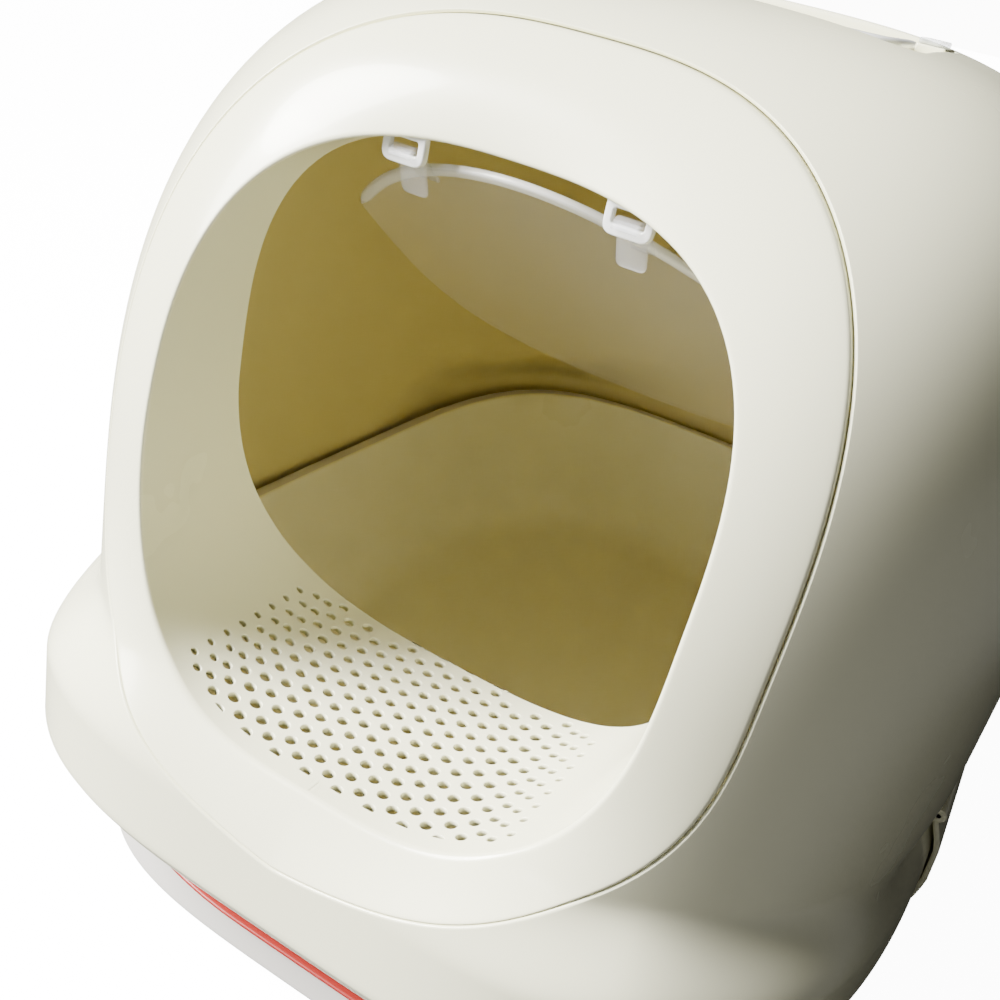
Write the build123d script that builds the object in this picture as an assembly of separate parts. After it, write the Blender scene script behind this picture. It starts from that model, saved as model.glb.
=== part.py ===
from build123d import *
import os
from collections import namedtuple
from math import asin, cos, exp, pi, radians, sin, sqrt

# A covered litter box: a tray, a domed hood with a walk-in entrance, a swinging flap,
# a folding carry handle and two side latches. Sizes in mm, +Z up, the entrance faces -Y.

PlanForm = namedtuple("PlanForm", "half_width front back centre power")

# Hood form
CROWN_Z = 465.0
SHOULDER_Z = 200.0
BODY = PlanForm(half_width=227.0, front=273.0, back=363.0, centre=-44.0, power=2.4)
DOME_POWER_SIDE = 3.2
DOME_POWER_FRONT = 2.6
DOME_POWER_BACK = 3.0
CROWN_FLAT = 0.995
DOME_STEPS = (0, 0.16, 0.34, 0.5, 0.64, 0.75, 0.84, 0.91, 0.955, 0.983, CROWN_FLAT)
HOOD_WALL = 3.0

# Flared skirt and the lip that rolls under it
SKIRT = PlanForm(half_width=232.0, front=335.0, back=303.0, centre=16.0, power=3.8)
LIP = PlanForm(half_width=210.0, front=297.0, back=279.0, centre=16.0, power=4.0)
FLARE_TOP_Z = 168.0
FLARE_FOOT_Z = 128.0
FLARE_DROP_BESIDE = 38.0
NOSE_END_Y = -215.0
SIDE_START_Y = -60.0
SIDE_END_Y = 60.0
REAR_START_Y = 170.0
BULGE_Z = 90.0
LIP_Z = 37.2
TUCK_STEPS = (85, 70, 50, 30, 12)
WAIST_DEPTH = 7.0
WAIST_Z = 121.0
WAIST_HEIGHT = 22.0
NOSE_DRAW = 0.05
NOSE_LENGTH = 250.0

# Entrance, all outlines are superellipses in the XZ plane
STEP_Z = 150.0
OPENING_HALF_WIDTH = 118.2
OPENING_HEIGHT = 246.0
OPENING_POWER = 2.9
RING_BAND = 29.3
RING_SKIN = 3.0
RING_RETURN = 14.0
RING_GAP = 0.4
SLEEVE_WALL = 3.0
BEVEL_SIDE = 8.5
BEVEL_BOTTOM = 7.5
BEVEL_TOP = 18.5
TUNNEL_REAR_Y = -224.0
STEP_OVERHANG = 41.0
STEP_RISE = 120.0
STEP_CURVE = 1.7

# Perforated step
STEP_HALF_WIDTH = 84.0
STEP_GAP = 0.2
HOLE_RADIUS = 2.25
HOLE_SIDES = 6
HOLE_ROW_PITCH = 10.0
HOLE_COLUMN_PITCH = 8.0
HOLE_EVEN_COLUMNS = 7
HOLE_OUTER_COLUMNS = ((63.5, -294.0, 11), (69.5, -289.0, 10), (75.0, -292.0, 10), (80.7, -288.0, 9))
HOLE_FULL_COLUMNS = 4
HOLE_FIRST_Y = -294.0
HOLE_ROWS = 11
HOLE_REACH = 40.0
LEDGE_WALL = 3.0
LEDGE_DEPTH = 10.0

# Flap hinge
HINGE_Y = -232.0
HINGE_Z = 385.5
CROSSBAR_RADIUS = 2.5
BRACKET_X = 46.7
BRACKET_WIDTH = 18.9
BRACKET_THICKNESS = 3.0
BRACKET_CORNER = 1.4
SLOT_WIDTH = 12.5
SLOT_HEIGHT = 4.4
BRACKET_HEAD = 2.0
BRACKET_HEAD_SETBACK = 1.2
BRACKET_HEAD_REACH = 2.5
CLIP_GAP = 0.2

# Flap, modelled shut and then swung to the pose it is shown in
FLAP_OPEN = 56.0
FLAP_GAP = 7.2
PANEL_WALL = 2.0
PANEL_OFFSET = 4.5
FLAP_TOP = 3.5
FLAP_TOP_DROP = 13.0
FLAP_TOP_SPAN = 75.0
BAR_HEIGHT = 5.5
BAR_THICKNESS = 3.2
HOOK_GAP = 0.4
HOOK_WALL = 1.6
HOOK_WIDTH = 12.0
HOOK_LEAN = 29.0
TONGUE_LENGTH = 24.0
HOOK_ROOT = 11.0
NOTCH_DEPTH = 3.0
NOTCH_MARGIN = 1.0

# Carry handle and its recess in the crown
RECESS_LENGTH = 190.0
RECESS_WIDTH = 100.0
RECESS_FLOOR_Z = 450.8
RECESS_CORNER = 15.0
RECESS_Y = -50.0
RECESS_CUT = 60.0
PIVOT_Y = -30.0
PIVOT_Z = 455.8
HANDLE_HALF_SPAN = 82.0
HANDLE_REACH = 50.0
ARM_WIDTH = 9.0
HANDLE_HEIGHT = 8.0
GRIP_WIDTH = 20.0
GRIP_BOW = 5.0
GRIP_CORNER = 14.0
GRIP_INNER_CORNER = 6.0
PIN_RADIUS = 2.5
PIN_FIT = 0.05
PIN_HEAD_RADIUS = 3.8
PIN_HEAD = 1.5
PIN_BEARING = 8.5
PIN_END_PLAY = 0.3
BOSS_GAP = 0.6
BOSS_WIDTH = 26.0
BOSS_TOP_Z = 459.6
CAP_HEIGHT = 2.6
CAP_LENGTH = 11.0
CAP_SEAT = 0.1
CAP_MARGIN = 0.5
CAP_CORNER = 2.0

# Side latches
LATCH_FRONT_Y = -64.0
LATCH_LENGTH = 120.0
LATCH_GAP = 1.5
LATCH_WALL = 3.0
LATCH_FOOT_Z = 29.0
LATCH_NOSE_GAP = 4.0
LATCH_FLARE = 4.0
LATCH_FOOT_HEIGHT = 5.0
LATCH_DROPS = (9, 15, 21, 27)
LATCH_TUCKS = (15, 30, 45, 58, 68)
KNUCKLE_RADIUS = 4.0
LATCH_PIN_RADIUS = 1.6
LUG_LENGTH = 8.0
LUG_GAP = 0.3

# Tray
TRAY_FOOT = PlanForm(half_width=202.0, front=289.0, back=270.0, centre=16.0, power=4.0)
TRAY_RIM_Z = 122.0
TRAY_DRAFT = 4.5
TRAY_WALL = 3.0
TRAY_FLOOR = 4.0
TRAY_FLOOR_ROUND = 26.0
TRAY_ROUND_STEPS = 5
FLANGE_THICKNESS = 4.0
FLANGE_SEAT = 0.2
FLANGE_PAST_LIP = 2.0
TRIM_HEIGHT = 6.5
TRIM_DEPTH = 8.0
TRIM_NARROWER = 4.0
TRIM_SEAT = 0.1

# Drawing accuracy
PLAN_POINTS = 32
FACE_POINTS = 28
FLOOR_STEPS = 10
REAR_STEPS = 8
FAR = 500.0


def superellipse(turn, power):
    """Unit superellipse point in the direction turn: |x|^p + |y|^p = 1."""
    c, s = cos(turn), sin(turn)
    reach = (abs(c) ** power + abs(s) ** power) ** (-1 / power)
    return c * reach, s * reach


def plan_point(form, turn, inset=0.0, side=1.0, ahead=1.0, behind=1.0):
    """Point of a plan form, drawn in by inset and scaled sideways, ahead and behind."""
    c, s = superellipse(turn, form.power)
    reach = (form.front - inset) * ahead if s < 0 else (form.back - inset) * behind
    return (form.half_width - inset) * side * c, form.centre + reach * s


def blend(a, b, share):
    """Point between a and b: a + (b - a) * share."""
    return tuple(p + (q - p) * share for p, q in zip(a, b))


def smoothstep(x):
    """Soft step from 0 to 1: 3 x^2 - 2 x^3."""
    x = min(max(x, 0.0), 1.0)
    return x * x * (3 - 2 * x)


def nose_factor(y):
    """The skirt draws in ahead of the body's middle: 1 - k (d / l)^2."""
    return 1 - NOSE_DRAW * (max(0.0, BODY.centre - y) / NOSE_LENGTH) ** 2


def hood_point(z, turn, wall=0.0):
    """Point of the hood at height z, in plan at an angle from +X, drawn in by the wall."""
    t = max(0.0, (z - SHOULDER_Z) / (CROWN_Z - wall - SHOULDER_Z))
    side, ahead, behind = (
        max(0.0, 1 - t**n) ** (1 / n) for n in (DOME_POWER_SIDE, DOME_POWER_FRONT, DOME_POWER_BACK)
    )
    body = plan_point(BODY, turn, wall, side, ahead, behind)
    x, y = plan_point(SKIRT, turn, wall)
    skirt = (x * nose_factor(y), y)
    if z < BULGE_Z:
        tuck = asin(min(1.0, (BULGE_Z - z) / (BULGE_Z - LIP_Z - wall)))
        skirt = blend(skirt, plan_point(LIP, turn), 1 - cos(tuck))
    rear = smoothstep((y - NOSE_END_Y) / (SIDE_START_Y - NOSE_END_Y))
    beside = rear * (1 - smoothstep((y - SIDE_END_Y) / (REAR_START_Y - SIDE_END_Y)))
    flare = smoothstep((FLARE_TOP_Z - FLARE_DROP_BESIDE * beside - z) / (FLARE_TOP_Z - FLARE_FOOT_Z))
    x, y = blend(body, skirt, flare)
    waist = WAIST_DEPTH * exp(-(((z - WAIST_Z) / WAIST_HEIGHT) ** 2)) * rear
    return x - waist * cos(turn), y - waist * max(0.0, sin(turn))


def closed_edge(points):
    """Smooth closed curve through 3-D points spaced evenly in angle."""
    steps = [i / len(points) for i in range(len(points) + 1)]
    return Edge.make_spline([Vector(*p) for p in points], periodic=True, parameters=steps)


def closed_wire(points):
    """The same curve as a wire."""
    return Wire([closed_edge(points)])


def ruled_ring(rings):
    """Solid whose skin is ruled between closed curves, taken in order round its section."""
    edges = [closed_edge(points) for points in rings]
    pairs = zip(edges, edges[1:] + edges[:1])
    return Solid(Shell([Face.make_surface_from_curves(a, b) for a, b in pairs]))


def turns(count):
    """Angles once round, evenly spaced."""
    return [2 * pi * i / count for i in range(count)]


def hood_heights(wall):
    """Heights of the hood's sections, from the lip to the crown."""
    drop = BULGE_Z - LIP_Z - wall
    tucked = [BULGE_Z - drop * sin(radians(a)) for a in TUCK_STEPS]
    flared = [FLARE_FOOT_Z + (FLARE_TOP_Z - FLARE_FOOT_Z) * k / 4 for k in range(-3, 6)]
    rise = CROWN_Z - wall - SHOULDER_Z
    return tucked + flared + [SHOULDER_Z + rise * t for t in DOME_STEPS]


def hood_form(wall):
    """Closed solid of the hood's form, drawn in by the wall."""
    wires = [
        closed_wire([(*hood_point(z, a, wall), z) for a in turns(PLAN_POINTS)])
        for z in hood_heights(wall)
    ]
    return Solid.make_loft(wires)


def plan_prism(form, grow, low, high):
    """Upright prism of a plan form grown outward."""
    wire = closed_wire([(*plan_point(form, a, -grow), low) for a in turns(PLAN_POINTS)])
    return extrude(Face(wire), high - low, dir=(0, 0, 1))


# Entrance outlines and surfaces
OPENING_CENTRE_Z = STEP_Z + OPENING_HEIGHT / 2


def entrance_curve(grow, depth):
    """Points of the entrance outline grown outward, with Y given by depth(x, z)."""
    points = []
    for a in turns(FACE_POINTS):
        u, v = superellipse(a, OPENING_POWER)
        x, z = (OPENING_HALF_WIDTH + grow) * u, OPENING_CENTRE_Z + (OPENING_HEIGHT / 2 + grow) * v
        points.append((x, depth(x, z), z))
    return points


def entrance_prism(grow, y0=-FAR, y1=0.0):
    """Prism along Y of the entrance outline grown outward."""
    return extrude(Face(closed_wire(entrance_curve(grow, lambda x, z: y0))), y1 - y0, dir=(0, 1, 0))


def hood_front_y(x, z):
    """Y of the hood's outer surface above the front, by halving the plan angle."""
    low, high = -pi / 2, 0.0
    for _ in range(40):
        turn = (low + high) / 2
        if hood_point(z, turn)[0] < abs(x):
            low = turn
        else:
            high = turn
    return hood_point(z, low)[1]


def ring_face_y(x, z):
    """Y of the ring's front: the hood's surface set back towards the opening's edge."""
    u, v = x / OPENING_HALF_WIDTH, (z - OPENING_CENTRE_Z) / (OPENING_HEIGHT / 2)
    rho = (abs(u) ** OPENING_POWER + abs(v) ** OPENING_POWER) ** (1 / OPENING_POWER)
    rho_seam = 1 + RING_BAND / OPENING_HALF_WIDTH
    rise = v * v / (u * u + v * v + 1e-9)
    deeper = BEVEL_TOP * rise**2 if v > 0 else BEVEL_BOTTOM * rise
    recess = BEVEL_SIDE + deeper * min(1.0, rho * rho)
    return hood_front_y(x, z) + recess * (rho_seam - rho) / (rho_seam - 1)


def tunnel_rear_y(z):
    """Y of the tunnel's rear edge: the step reaches further back than the sides."""
    share = max(0.0, 1 - (z - STEP_Z) / STEP_RISE)
    return TUNNEL_REAR_Y + STEP_OVERHANG * share**STEP_CURVE


def behind_tunnel():
    """All space behind the tunnel's rear edge."""
    low, turn_z = STEP_Z - 2 * SLEEVE_WALL, STEP_Z + STEP_RISE
    heights = [low + (turn_z - low) * k / REAR_STEPS for k in range(REAR_STEPS + 1)]
    curve = [(tunnel_rear_y(z), z) for z in heights]
    start = (tunnel_rear_y(low), low - FAR / 2)
    edges = [
        Edge.make_line((0, *start), (0, *curve[0])),
        Edge.make_spline([Vector(0, *p) for p in curve]),
        Edge.make_line((0, *curve[-1]), (0, curve[-1][0], FAR)),
        Edge.make_line((0, curve[-1][0], FAR), (0, FAR, FAR)),
        Edge.make_line((0, FAR, FAR), (0, FAR, start[1])),
        Edge.make_line((0, FAR, start[1]), (0, *start)),
    ]
    return extrude(Face(Wire(edges)), FAR / 2, dir=(1, 0, 0), both=True)


def box_between(x0, x1, y0, y1, z0, z1):
    """Box given by its limits."""
    centre = ((x0 + x1) / 2, (y0 + y1) / 2, (z0 + z1) / 2)
    return Pos(*centre) * Box(x1 - x0, y1 - y0, z1 - z0)


def bar_x(x0, x1, y, z, radius):
    """Round bar along X."""
    return Pos((x0 + x1) / 2, y, z) * Rot(0, 90, 0) * Cylinder(radius, x1 - x0)


def bar_y(y0, y1, x, z, radius):
    """Round bar along Y."""
    return Pos(x, (y0 + y1) / 2, z) * Rot(90, 0, 0) * Cylinder(radius, y1 - y0)


# Hood
def recess_block(grow=0.0):
    """Rounded block that forms the handle's recess."""
    length, width = RECESS_LENGTH + 2 * grow, RECESS_WIDTH + 2 * grow
    outline = RectangleRounded(length, width, RECESS_CORNER + grow)
    return Pos(0, RECESS_Y, RECESS_FLOOR_Z - grow) * extrude(outline, RECESS_CUT)


def pivot_boss(side):
    """Boss at one end of the recess that carries the handle's pin."""
    inner = HANDLE_HALF_SPAN + BOSS_GAP
    x0, x1 = sorted((side * inner, side * RECESS_LENGTH / 2))
    half = BOSS_WIDTH / 2
    return box_between(x0, x1, PIVOT_Y - half, PIVOT_Y + half, RECESS_FLOOR_Z - 1, BOSS_TOP_Z)


def pivot_bore(side):
    """Bore for the handle's pin in the boss."""
    deepest = HANDLE_HALF_SPAN + BOSS_GAP + PIN_BEARING + PIN_END_PLAY
    x0, x1 = sorted((side * (HANDLE_HALF_SPAN - 1), side * deepest))
    return bar_x(x0, x1, PIVOT_Y, PIVOT_Z, PIN_RADIUS + PIN_FIT)


def hood_side_x(y, z):
    """X of the hood's outer surface beside the plan position y, by halving the plan angle."""
    low, high = -pi / 2, pi / 2
    for _ in range(40):
        turn = (low + high) / 2
        if hood_point(z, turn)[1] < y:
            low = turn
        else:
            high = turn
    return hood_point(z, low)[0]


LATCH_PIVOT_X = hood_point(WAIST_Z, 0.0)[0] + LATCH_GAP + KNUCKLE_RADIUS


def latch_lugs(side):
    """Two lugs in the hood's waist that carry a latch's pin."""
    lugs = []
    pivot_x = side * LATCH_PIVOT_X
    for y0 in (LATCH_FRONT_Y - LUG_GAP - LUG_LENGTH, LATCH_FRONT_Y + LATCH_LENGTH + LUG_GAP):
        y1 = y0 + LUG_LENGTH
        inner = min(hood_side_x(y, WAIST_Z) for y in (y0, y1)) - HOOD_WALL
        x0, x1 = sorted((side * inner, pivot_x))
        web = box_between(x0, x1, y0, y1, WAIST_Z - KNUCKLE_RADIUS, WAIST_Z + KNUCKLE_RADIUS)
        eye = bar_y(y0, y1, pivot_x, WAIST_Z, KNUCKLE_RADIUS)
        bore = bar_y(y0 - 1, y1 + 1, pivot_x, WAIST_Z, LATCH_PIN_RADIUS + PIN_FIT)
        lugs.append(web + eye - bore)
    return lugs


def make_hood_shell():
    """Domed shell with the entrance hole, the handle's recess and the latch lugs."""
    hollow = hood_form(HOOD_WALL) - recess_block(HOOD_WALL)
    hollow += plan_prism(LIP, 0.0, LIP_Z - HOOD_WALL, LIP_Z + 3 * HOOD_WALL)
    shell = hood_form(0.0) - hollow
    shell -= entrance_prism(RING_BAND + RING_GAP, y1=BODY.centre - RECESS_WIDTH)
    recess = recess_block()
    for side in (-1, 1):
        recess -= pivot_boss(side)
        recess += pivot_bore(side)
    shell -= recess
    for side in (-1, 1):
        for lug in latch_lugs(side):
            shell += lug
    return shell


def outline_reach(x, grow=0.0):
    """Height of the entrance outline above and below its centre at x."""
    share = abs(x) / (OPENING_HALF_WIDTH + grow)
    return (OPENING_HEIGHT / 2 + grow) * (1 - share**OPENING_POWER) ** (1 / OPENING_POWER)


def floor_line(half, behind):
    """Plan points across the entrance's floor, a distance behind the ring's face."""
    xs = [half * (2 * k / FLOOR_STEPS - 1) for k in range(FLOOR_STEPS + 1)]
    return [(x, ring_face_y(x, OPENING_CENTRE_Z - outline_reach(x)) + behind, 0) for x in xs]


def floor_region(half, near, far=None):
    """Upright space over the entrance's floor, from near to far behind the ring's face."""
    front = floor_line(half, near)
    back = floor_line(half, far) if far else [(-half, 0, 0), (half, 0, 0)]
    edges = [
        Edge.make_spline([Vector(*p) for p in front]),
        Edge.make_line(front[-1], back[-1]),
        Edge.make_spline([Vector(*p) for p in back[::-1]]) if far else Edge.make_line(back[-1], back[0]),
        Edge.make_line(back[0], front[0]),
    ]
    return extrude(Face(Wire(edges)), OPENING_CENTRE_Z - OPENING_HEIGHT / 4, dir=(0, 0, 1))


# Entrance ring with its tunnel
def make_entry_ring():
    """Bevelled ring face, its return wall, the tunnel and the ledge under the step."""

    def face(x, z):
        return ring_face_y(x, z)

    def face_back(x, z):
        return ring_face_y(x, z) + RING_SKIN

    def return_end(x, z):
        return ring_face_y(x, z) + RING_RETURN

    def rear(x, z):
        return tunnel_rear_y(z)

    ring = ruled_ring([
        entrance_curve(RING_BAND, face),
        entrance_curve(RING_BAND * 0.6, face),
        entrance_curve(RING_BAND * 0.25, face),
        entrance_curve(0.0, face),
        entrance_curve(0.0, rear),
        entrance_curve(SLEEVE_WALL, rear),
        entrance_curve(SLEEVE_WALL, face_back),
        entrance_curve(RING_BAND - RING_SKIN, face_back),
        entrance_curve(RING_BAND - RING_SKIN, return_end),
        entrance_curve(RING_BAND, return_end),
    ])
    ring -= floor_region(STEP_HALF_WIDTH + STEP_GAP, RING_SKIN)
    under = SLEEVE_WALL + STEP_GAP
    shelf = entrance_prism(under + LEDGE_WALL) - entrance_prism(under)
    ring += shelf & floor_region(STEP_HALF_WIDTH, -RING_SKIN / 3, LEDGE_DEPTH)
    for side in (-1, 1):
        ring -= bracket_neck(side, CLIP_GAP)
    return ring


# Perforated step
def hole_columns():
    """X, first Y and number of holes of each column: an even lattice, then the columns up the sides."""
    columns = []
    for i in range(HOLE_EVEN_COLUMNS + 1):
        odd = i % 2
        count = HOLE_ROWS - (odd if i > HOLE_FULL_COLUMNS else 0)
        columns.append((i * HOLE_COLUMN_PITCH, HOLE_FIRST_Y + odd * HOLE_ROW_PITCH / 2, count))
    for x, first_y, count in columns + list(HOLE_OUTER_COLUMNS):
        for side in (-1, 1) if x else (1,):
            yield side * x, first_y, count


def make_perforated_step():
    """Curved plate of the tunnel's floor with staggered columns of round holes."""
    plate = entrance_prism(SLEEVE_WALL) - entrance_prism(0.0)
    plate &= floor_region(STEP_HALF_WIDTH, RING_SKIN + STEP_GAP)
    plate -= behind_tunnel()
    hole = extrude(RegularPolygon(HOLE_RADIUS, HOLE_SIDES), HOLE_REACH)
    low = STEP_Z - HOLE_REACH / 4
    holes = []
    for x, first_y, count in hole_columns():
        for k in range(count):
            holes.append(Pos(x, first_y + k * HOLE_ROW_PITCH, low) * hole)
    return plate - holes


# Hinge brackets
def bracket_neck(side, grow=0.0):
    """The bracket's plate where it passes up through the tunnel's roof."""
    half = BRACKET_WIDTH / 2 + grow
    centre = side * BRACKET_X
    depth = BRACKET_THICKNESS / 2 + grow
    low, high = HINGE_Z + CROSSBAR_RADIUS, bracket_head_z()
    return box_between(centre - half, centre + half, HINGE_Y - depth, HINGE_Y + depth, low, high)


def bracket_head_z():
    """Underside of the bracket's head, just clear of the tunnel's outside."""
    return OPENING_CENTRE_Z + outline_reach(BRACKET_X - BRACKET_WIDTH / 2, SLEEVE_WALL) + CLIP_GAP


def make_hinge_bracket(side):
    """Clip-in plate with a slot above a round crossbar."""
    centre = side * BRACKET_X
    half = BRACKET_WIDTH / 2
    legs = box_between(
        centre - half,
        centre + half,
        HINGE_Y - BRACKET_THICKNESS / 2,
        HINGE_Y + BRACKET_THICKNESS / 2,
        HINGE_Z - CROSSBAR_RADIUS,
        bracket_head_z(),
    )
    legs = fillet(legs.edges().filter_by(Axis.Y).group_by(Axis.Z)[0], BRACKET_CORNER)
    head = box_between(
        centre - half - BRACKET_HEAD_REACH,
        centre + half + BRACKET_HEAD_REACH,
        HINGE_Y + BRACKET_HEAD_SETBACK,
        HINGE_Y + BRACKET_THICKNESS / 2 + BRACKET_HEAD_REACH,
        bracket_head_z(),
        bracket_head_z() + BRACKET_HEAD,
    )
    left, right = centre - SLOT_WIDTH / 2, centre + SLOT_WIDTH / 2
    low, high = HINGE_Z - CROSSBAR_RADIUS - 1, HINGE_Z + CROSSBAR_RADIUS + SLOT_HEIGHT
    slot = box_between(left, right, HINGE_Y - half, HINGE_Y + half, low, high)
    return legs + head - slot + bar_x(left - 1, right + 1, HINGE_Y, HINGE_Z, CROSSBAR_RADIUS)


# Flap, drawn shut with the hinge axis as its origin
def flap_outline():
    """Face of the flap: the entrance outline less a gap, under an arched top."""
    half_width, half_height = OPENING_HALF_WIDTH - FLAP_GAP, OPENING_HEIGHT / 2 - FLAP_GAP
    points = []
    for a in turns(FACE_POINTS):
        x, z = superellipse(a, OPENING_POWER)
        points.append((half_width * x, 0, OPENING_CENTRE_Z - HINGE_Z + half_height * z))
    return Face(closed_wire(points))


def arch_z(x):
    """Height of the flap's arched top above the hinge axis."""
    return FLAP_TOP - FLAP_TOP_DROP * (x / FLAP_TOP_SPAN) ** 2


def under_arch(drop, low):
    """Region below the arched top, lowered by drop, down to low."""
    reach = OPENING_HALF_WIDTH
    shoulder = arch_z(reach) - drop
    edges = [
        Edge.make_three_point_arc((-reach, 0, shoulder), (0, 0, arch_z(0) - drop), (reach, 0, shoulder)),
        Edge.make_line((reach, 0, shoulder), (reach, 0, low)),
        Edge.make_line((reach, 0, low), (-reach, 0, low)),
        Edge.make_line((-reach, 0, low), (-reach, 0, shoulder)),
    ]
    return extrude(Face(Wire(edges)), TONGUE_LENGTH, dir=(0, 1, 0), both=True)


def flap_hook(centre):
    """Strip from the panel over the crossbar, ending in a hanging tongue."""
    inner = CROSSBAR_RADIUS + HOOK_GAP
    outer = inner + HOOK_WALL
    end = radians(180 - HOOK_LEAN)
    across = Vector(0, cos(end), sin(end))
    along = Vector(0, -sin(end), cos(end))
    tip_in, tip_out = across * inner + along * TONGUE_LENGTH, across * outer + along * TONGUE_LENGTH
    middle = Vector(0, cos(end / 2), sin(end / 2))
    edges = [
        Edge.make_line((0, inner, -HOOK_ROOT), (0, inner, 0)),
        Edge.make_three_point_arc((0, inner, 0), middle * inner, across * inner),
        Edge.make_line(across * inner, tip_in),
        Edge.make_line(tip_in, tip_out),
        Edge.make_line(tip_out, across * outer),
        Edge.make_three_point_arc(across * outer, middle * outer, (0, outer, 0)),
        Edge.make_line((0, outer, 0), (0, outer, -HOOK_ROOT)),
        Edge.make_line((0, outer, -HOOK_ROOT), (0, inner, -HOOK_ROOT)),
    ]
    strip = extrude(Face(Wire(edges)), HOOK_WIDTH / 2, dir=(1, 0, 0), both=True)
    return Pos(centre, 0, 0) * strip


def make_flap():
    """Panel, stiff top bar and two hooks as one moulding."""
    low = OPENING_CENTRE_Z - HINGE_Z - OPENING_HEIGHT / 2
    panel = Pos(0, PANEL_OFFSET, 0) * extrude(flap_outline(), PANEL_WALL / 2, dir=(0, 1, 0), both=True)
    panel &= under_arch(0.0, low)
    bar = Pos(0, PANEL_OFFSET - PANEL_WALL / 2, 0) * extrude(flap_outline(), BAR_THICKNESS, dir=(0, 1, 0))
    bar = bar & under_arch(0.0, low) - under_arch(BAR_HEIGHT, low)
    flap = panel + bar
    half = BRACKET_WIDTH / 2 + NOTCH_MARGIN
    for side in (-1, 1):
        centre = side * BRACKET_X
        flap -= box_between(centre - half, centre + half, 0, FAR, -NOTCH_DEPTH, FAR)
        flap += flap_hook(centre)
    return Pos(0, HINGE_Y, HINGE_Z) * Rot(FLAP_OPEN, 0, 0) * flap


# Carry handle
def make_carry_handle():
    """Bail with a bowed grip, lying flat in the recess."""
    outer, inner = HANDLE_HALF_SPAN, HANDLE_HALF_SPAN - ARM_WIDTH
    eye = HANDLE_HEIGHT / 2
    grip_y = PIVOT_Y - HANDLE_REACH
    front, back = grip_y - GRIP_WIDTH / 2, grip_y + GRIP_WIDTH / 2
    turn_in, turn_y, bend = outer - GRIP_CORNER, front + GRIP_CORNER, GRIP_CORNER * (1 - sqrt(0.5))
    inner_in, inner_y = inner - GRIP_INNER_CORNER, back + GRIP_INNER_CORNER
    outline = Wire([
        Edge.make_line((outer, PIVOT_Y, 0), (outer, turn_y, 0)),
        Edge.make_three_point_arc((outer, turn_y, 0), (outer - bend, front + bend, 0), (turn_in, front, 0)),
        Edge.make_three_point_arc((turn_in, front, 0), (0, front - GRIP_BOW, 0), (-turn_in, front, 0)),
        Edge.make_three_point_arc((-turn_in, front, 0), (bend - outer, front + bend, 0), (-outer, turn_y, 0)),
        Edge.make_line((-outer, turn_y, 0), (-outer, PIVOT_Y, 0)),
        Edge.make_line((-outer, PIVOT_Y, 0), (-inner, PIVOT_Y, 0)),
        Edge.make_line((-inner, PIVOT_Y, 0), (-inner, inner_y, 0)),
        Edge.make_line((-inner, inner_y, 0), (-inner_in, back, 0)),
        Edge.make_three_point_arc((-inner_in, back, 0), (0, back - GRIP_BOW, 0), (inner_in, back, 0)),
        Edge.make_line((inner_in, back, 0), (inner, inner_y, 0)),
        Edge.make_line((inner, inner_y, 0), (inner, PIVOT_Y, 0)),
        Edge.make_line((inner, PIVOT_Y, 0), (outer, PIVOT_Y, 0)),
    ])
    handle = Pos(0, 0, PIVOT_Z - eye) * extrude(Face(outline), HANDLE_HEIGHT, dir=(0, 0, 1))
    for side in (-1, 1):
        x0, x1 = sorted((side * outer, side * inner))
        handle += bar_x(x0, x1, PIVOT_Y, PIVOT_Z, eye)
        handle -= bar_x(x0 - 1, x1 + 1, PIVOT_Y, PIVOT_Z, PIN_RADIUS + PIN_FIT)
    return handle


def make_handle_pin(side):
    """Headed pin through the handle's arm into the boss."""
    inner = HANDLE_HALF_SPAN - ARM_WIDTH - PIN_END_PLAY
    x0, x1 = sorted((side * inner, side * (HANDLE_HALF_SPAN + BOSS_GAP + PIN_BEARING)))
    pin = bar_x(x0, x1, PIVOT_Y, PIVOT_Z, PIN_RADIUS)
    h0, h1 = sorted((side * inner, side * (inner - PIN_HEAD)))
    return pin + bar_x(h0, h1, PIVOT_Y, PIVOT_Z, PIN_HEAD_RADIUS)


def make_handle_cap(side):
    """Small clear cap over the end of the pin's boss."""
    x0 = HANDLE_HALF_SPAN + BOSS_GAP + CAP_MARGIN
    half = BOSS_WIDTH / 2 - 2 * CAP_MARGIN
    low = BOSS_TOP_Z + CAP_SEAT
    block = box_between(x0, x0 + CAP_LENGTH, PIVOT_Y - half, PIVOT_Y + half, low, low + CAP_HEIGHT)
    block = fillet(block.edges().filter_by(Axis.Z), CAP_CORNER)
    return block if side > 0 else block.mirror(Plane.YZ)


# Side latches, drawn on the right and mirrored
def latch_chain(offset):
    """Points outside the hood's side from the knuckle to the lip, offset along the normal."""
    heights = [WAIST_Z - drop for drop in LATCH_DROPS]
    heights += [BULGE_Z - (BULGE_Z - LIP_Z) * sin(radians(a)) for a in LATCH_TUCKS]
    points = []
    for z in heights:
        lean = hood_point(z + 0.5, 0.0)[0] - hood_point(z - 0.5, 0.0)[0]
        length = sqrt(lean**2 + 1)
        points.append((hood_point(z, 0.0)[0] + offset / length, z - offset * lean / length))
    return points


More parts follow.
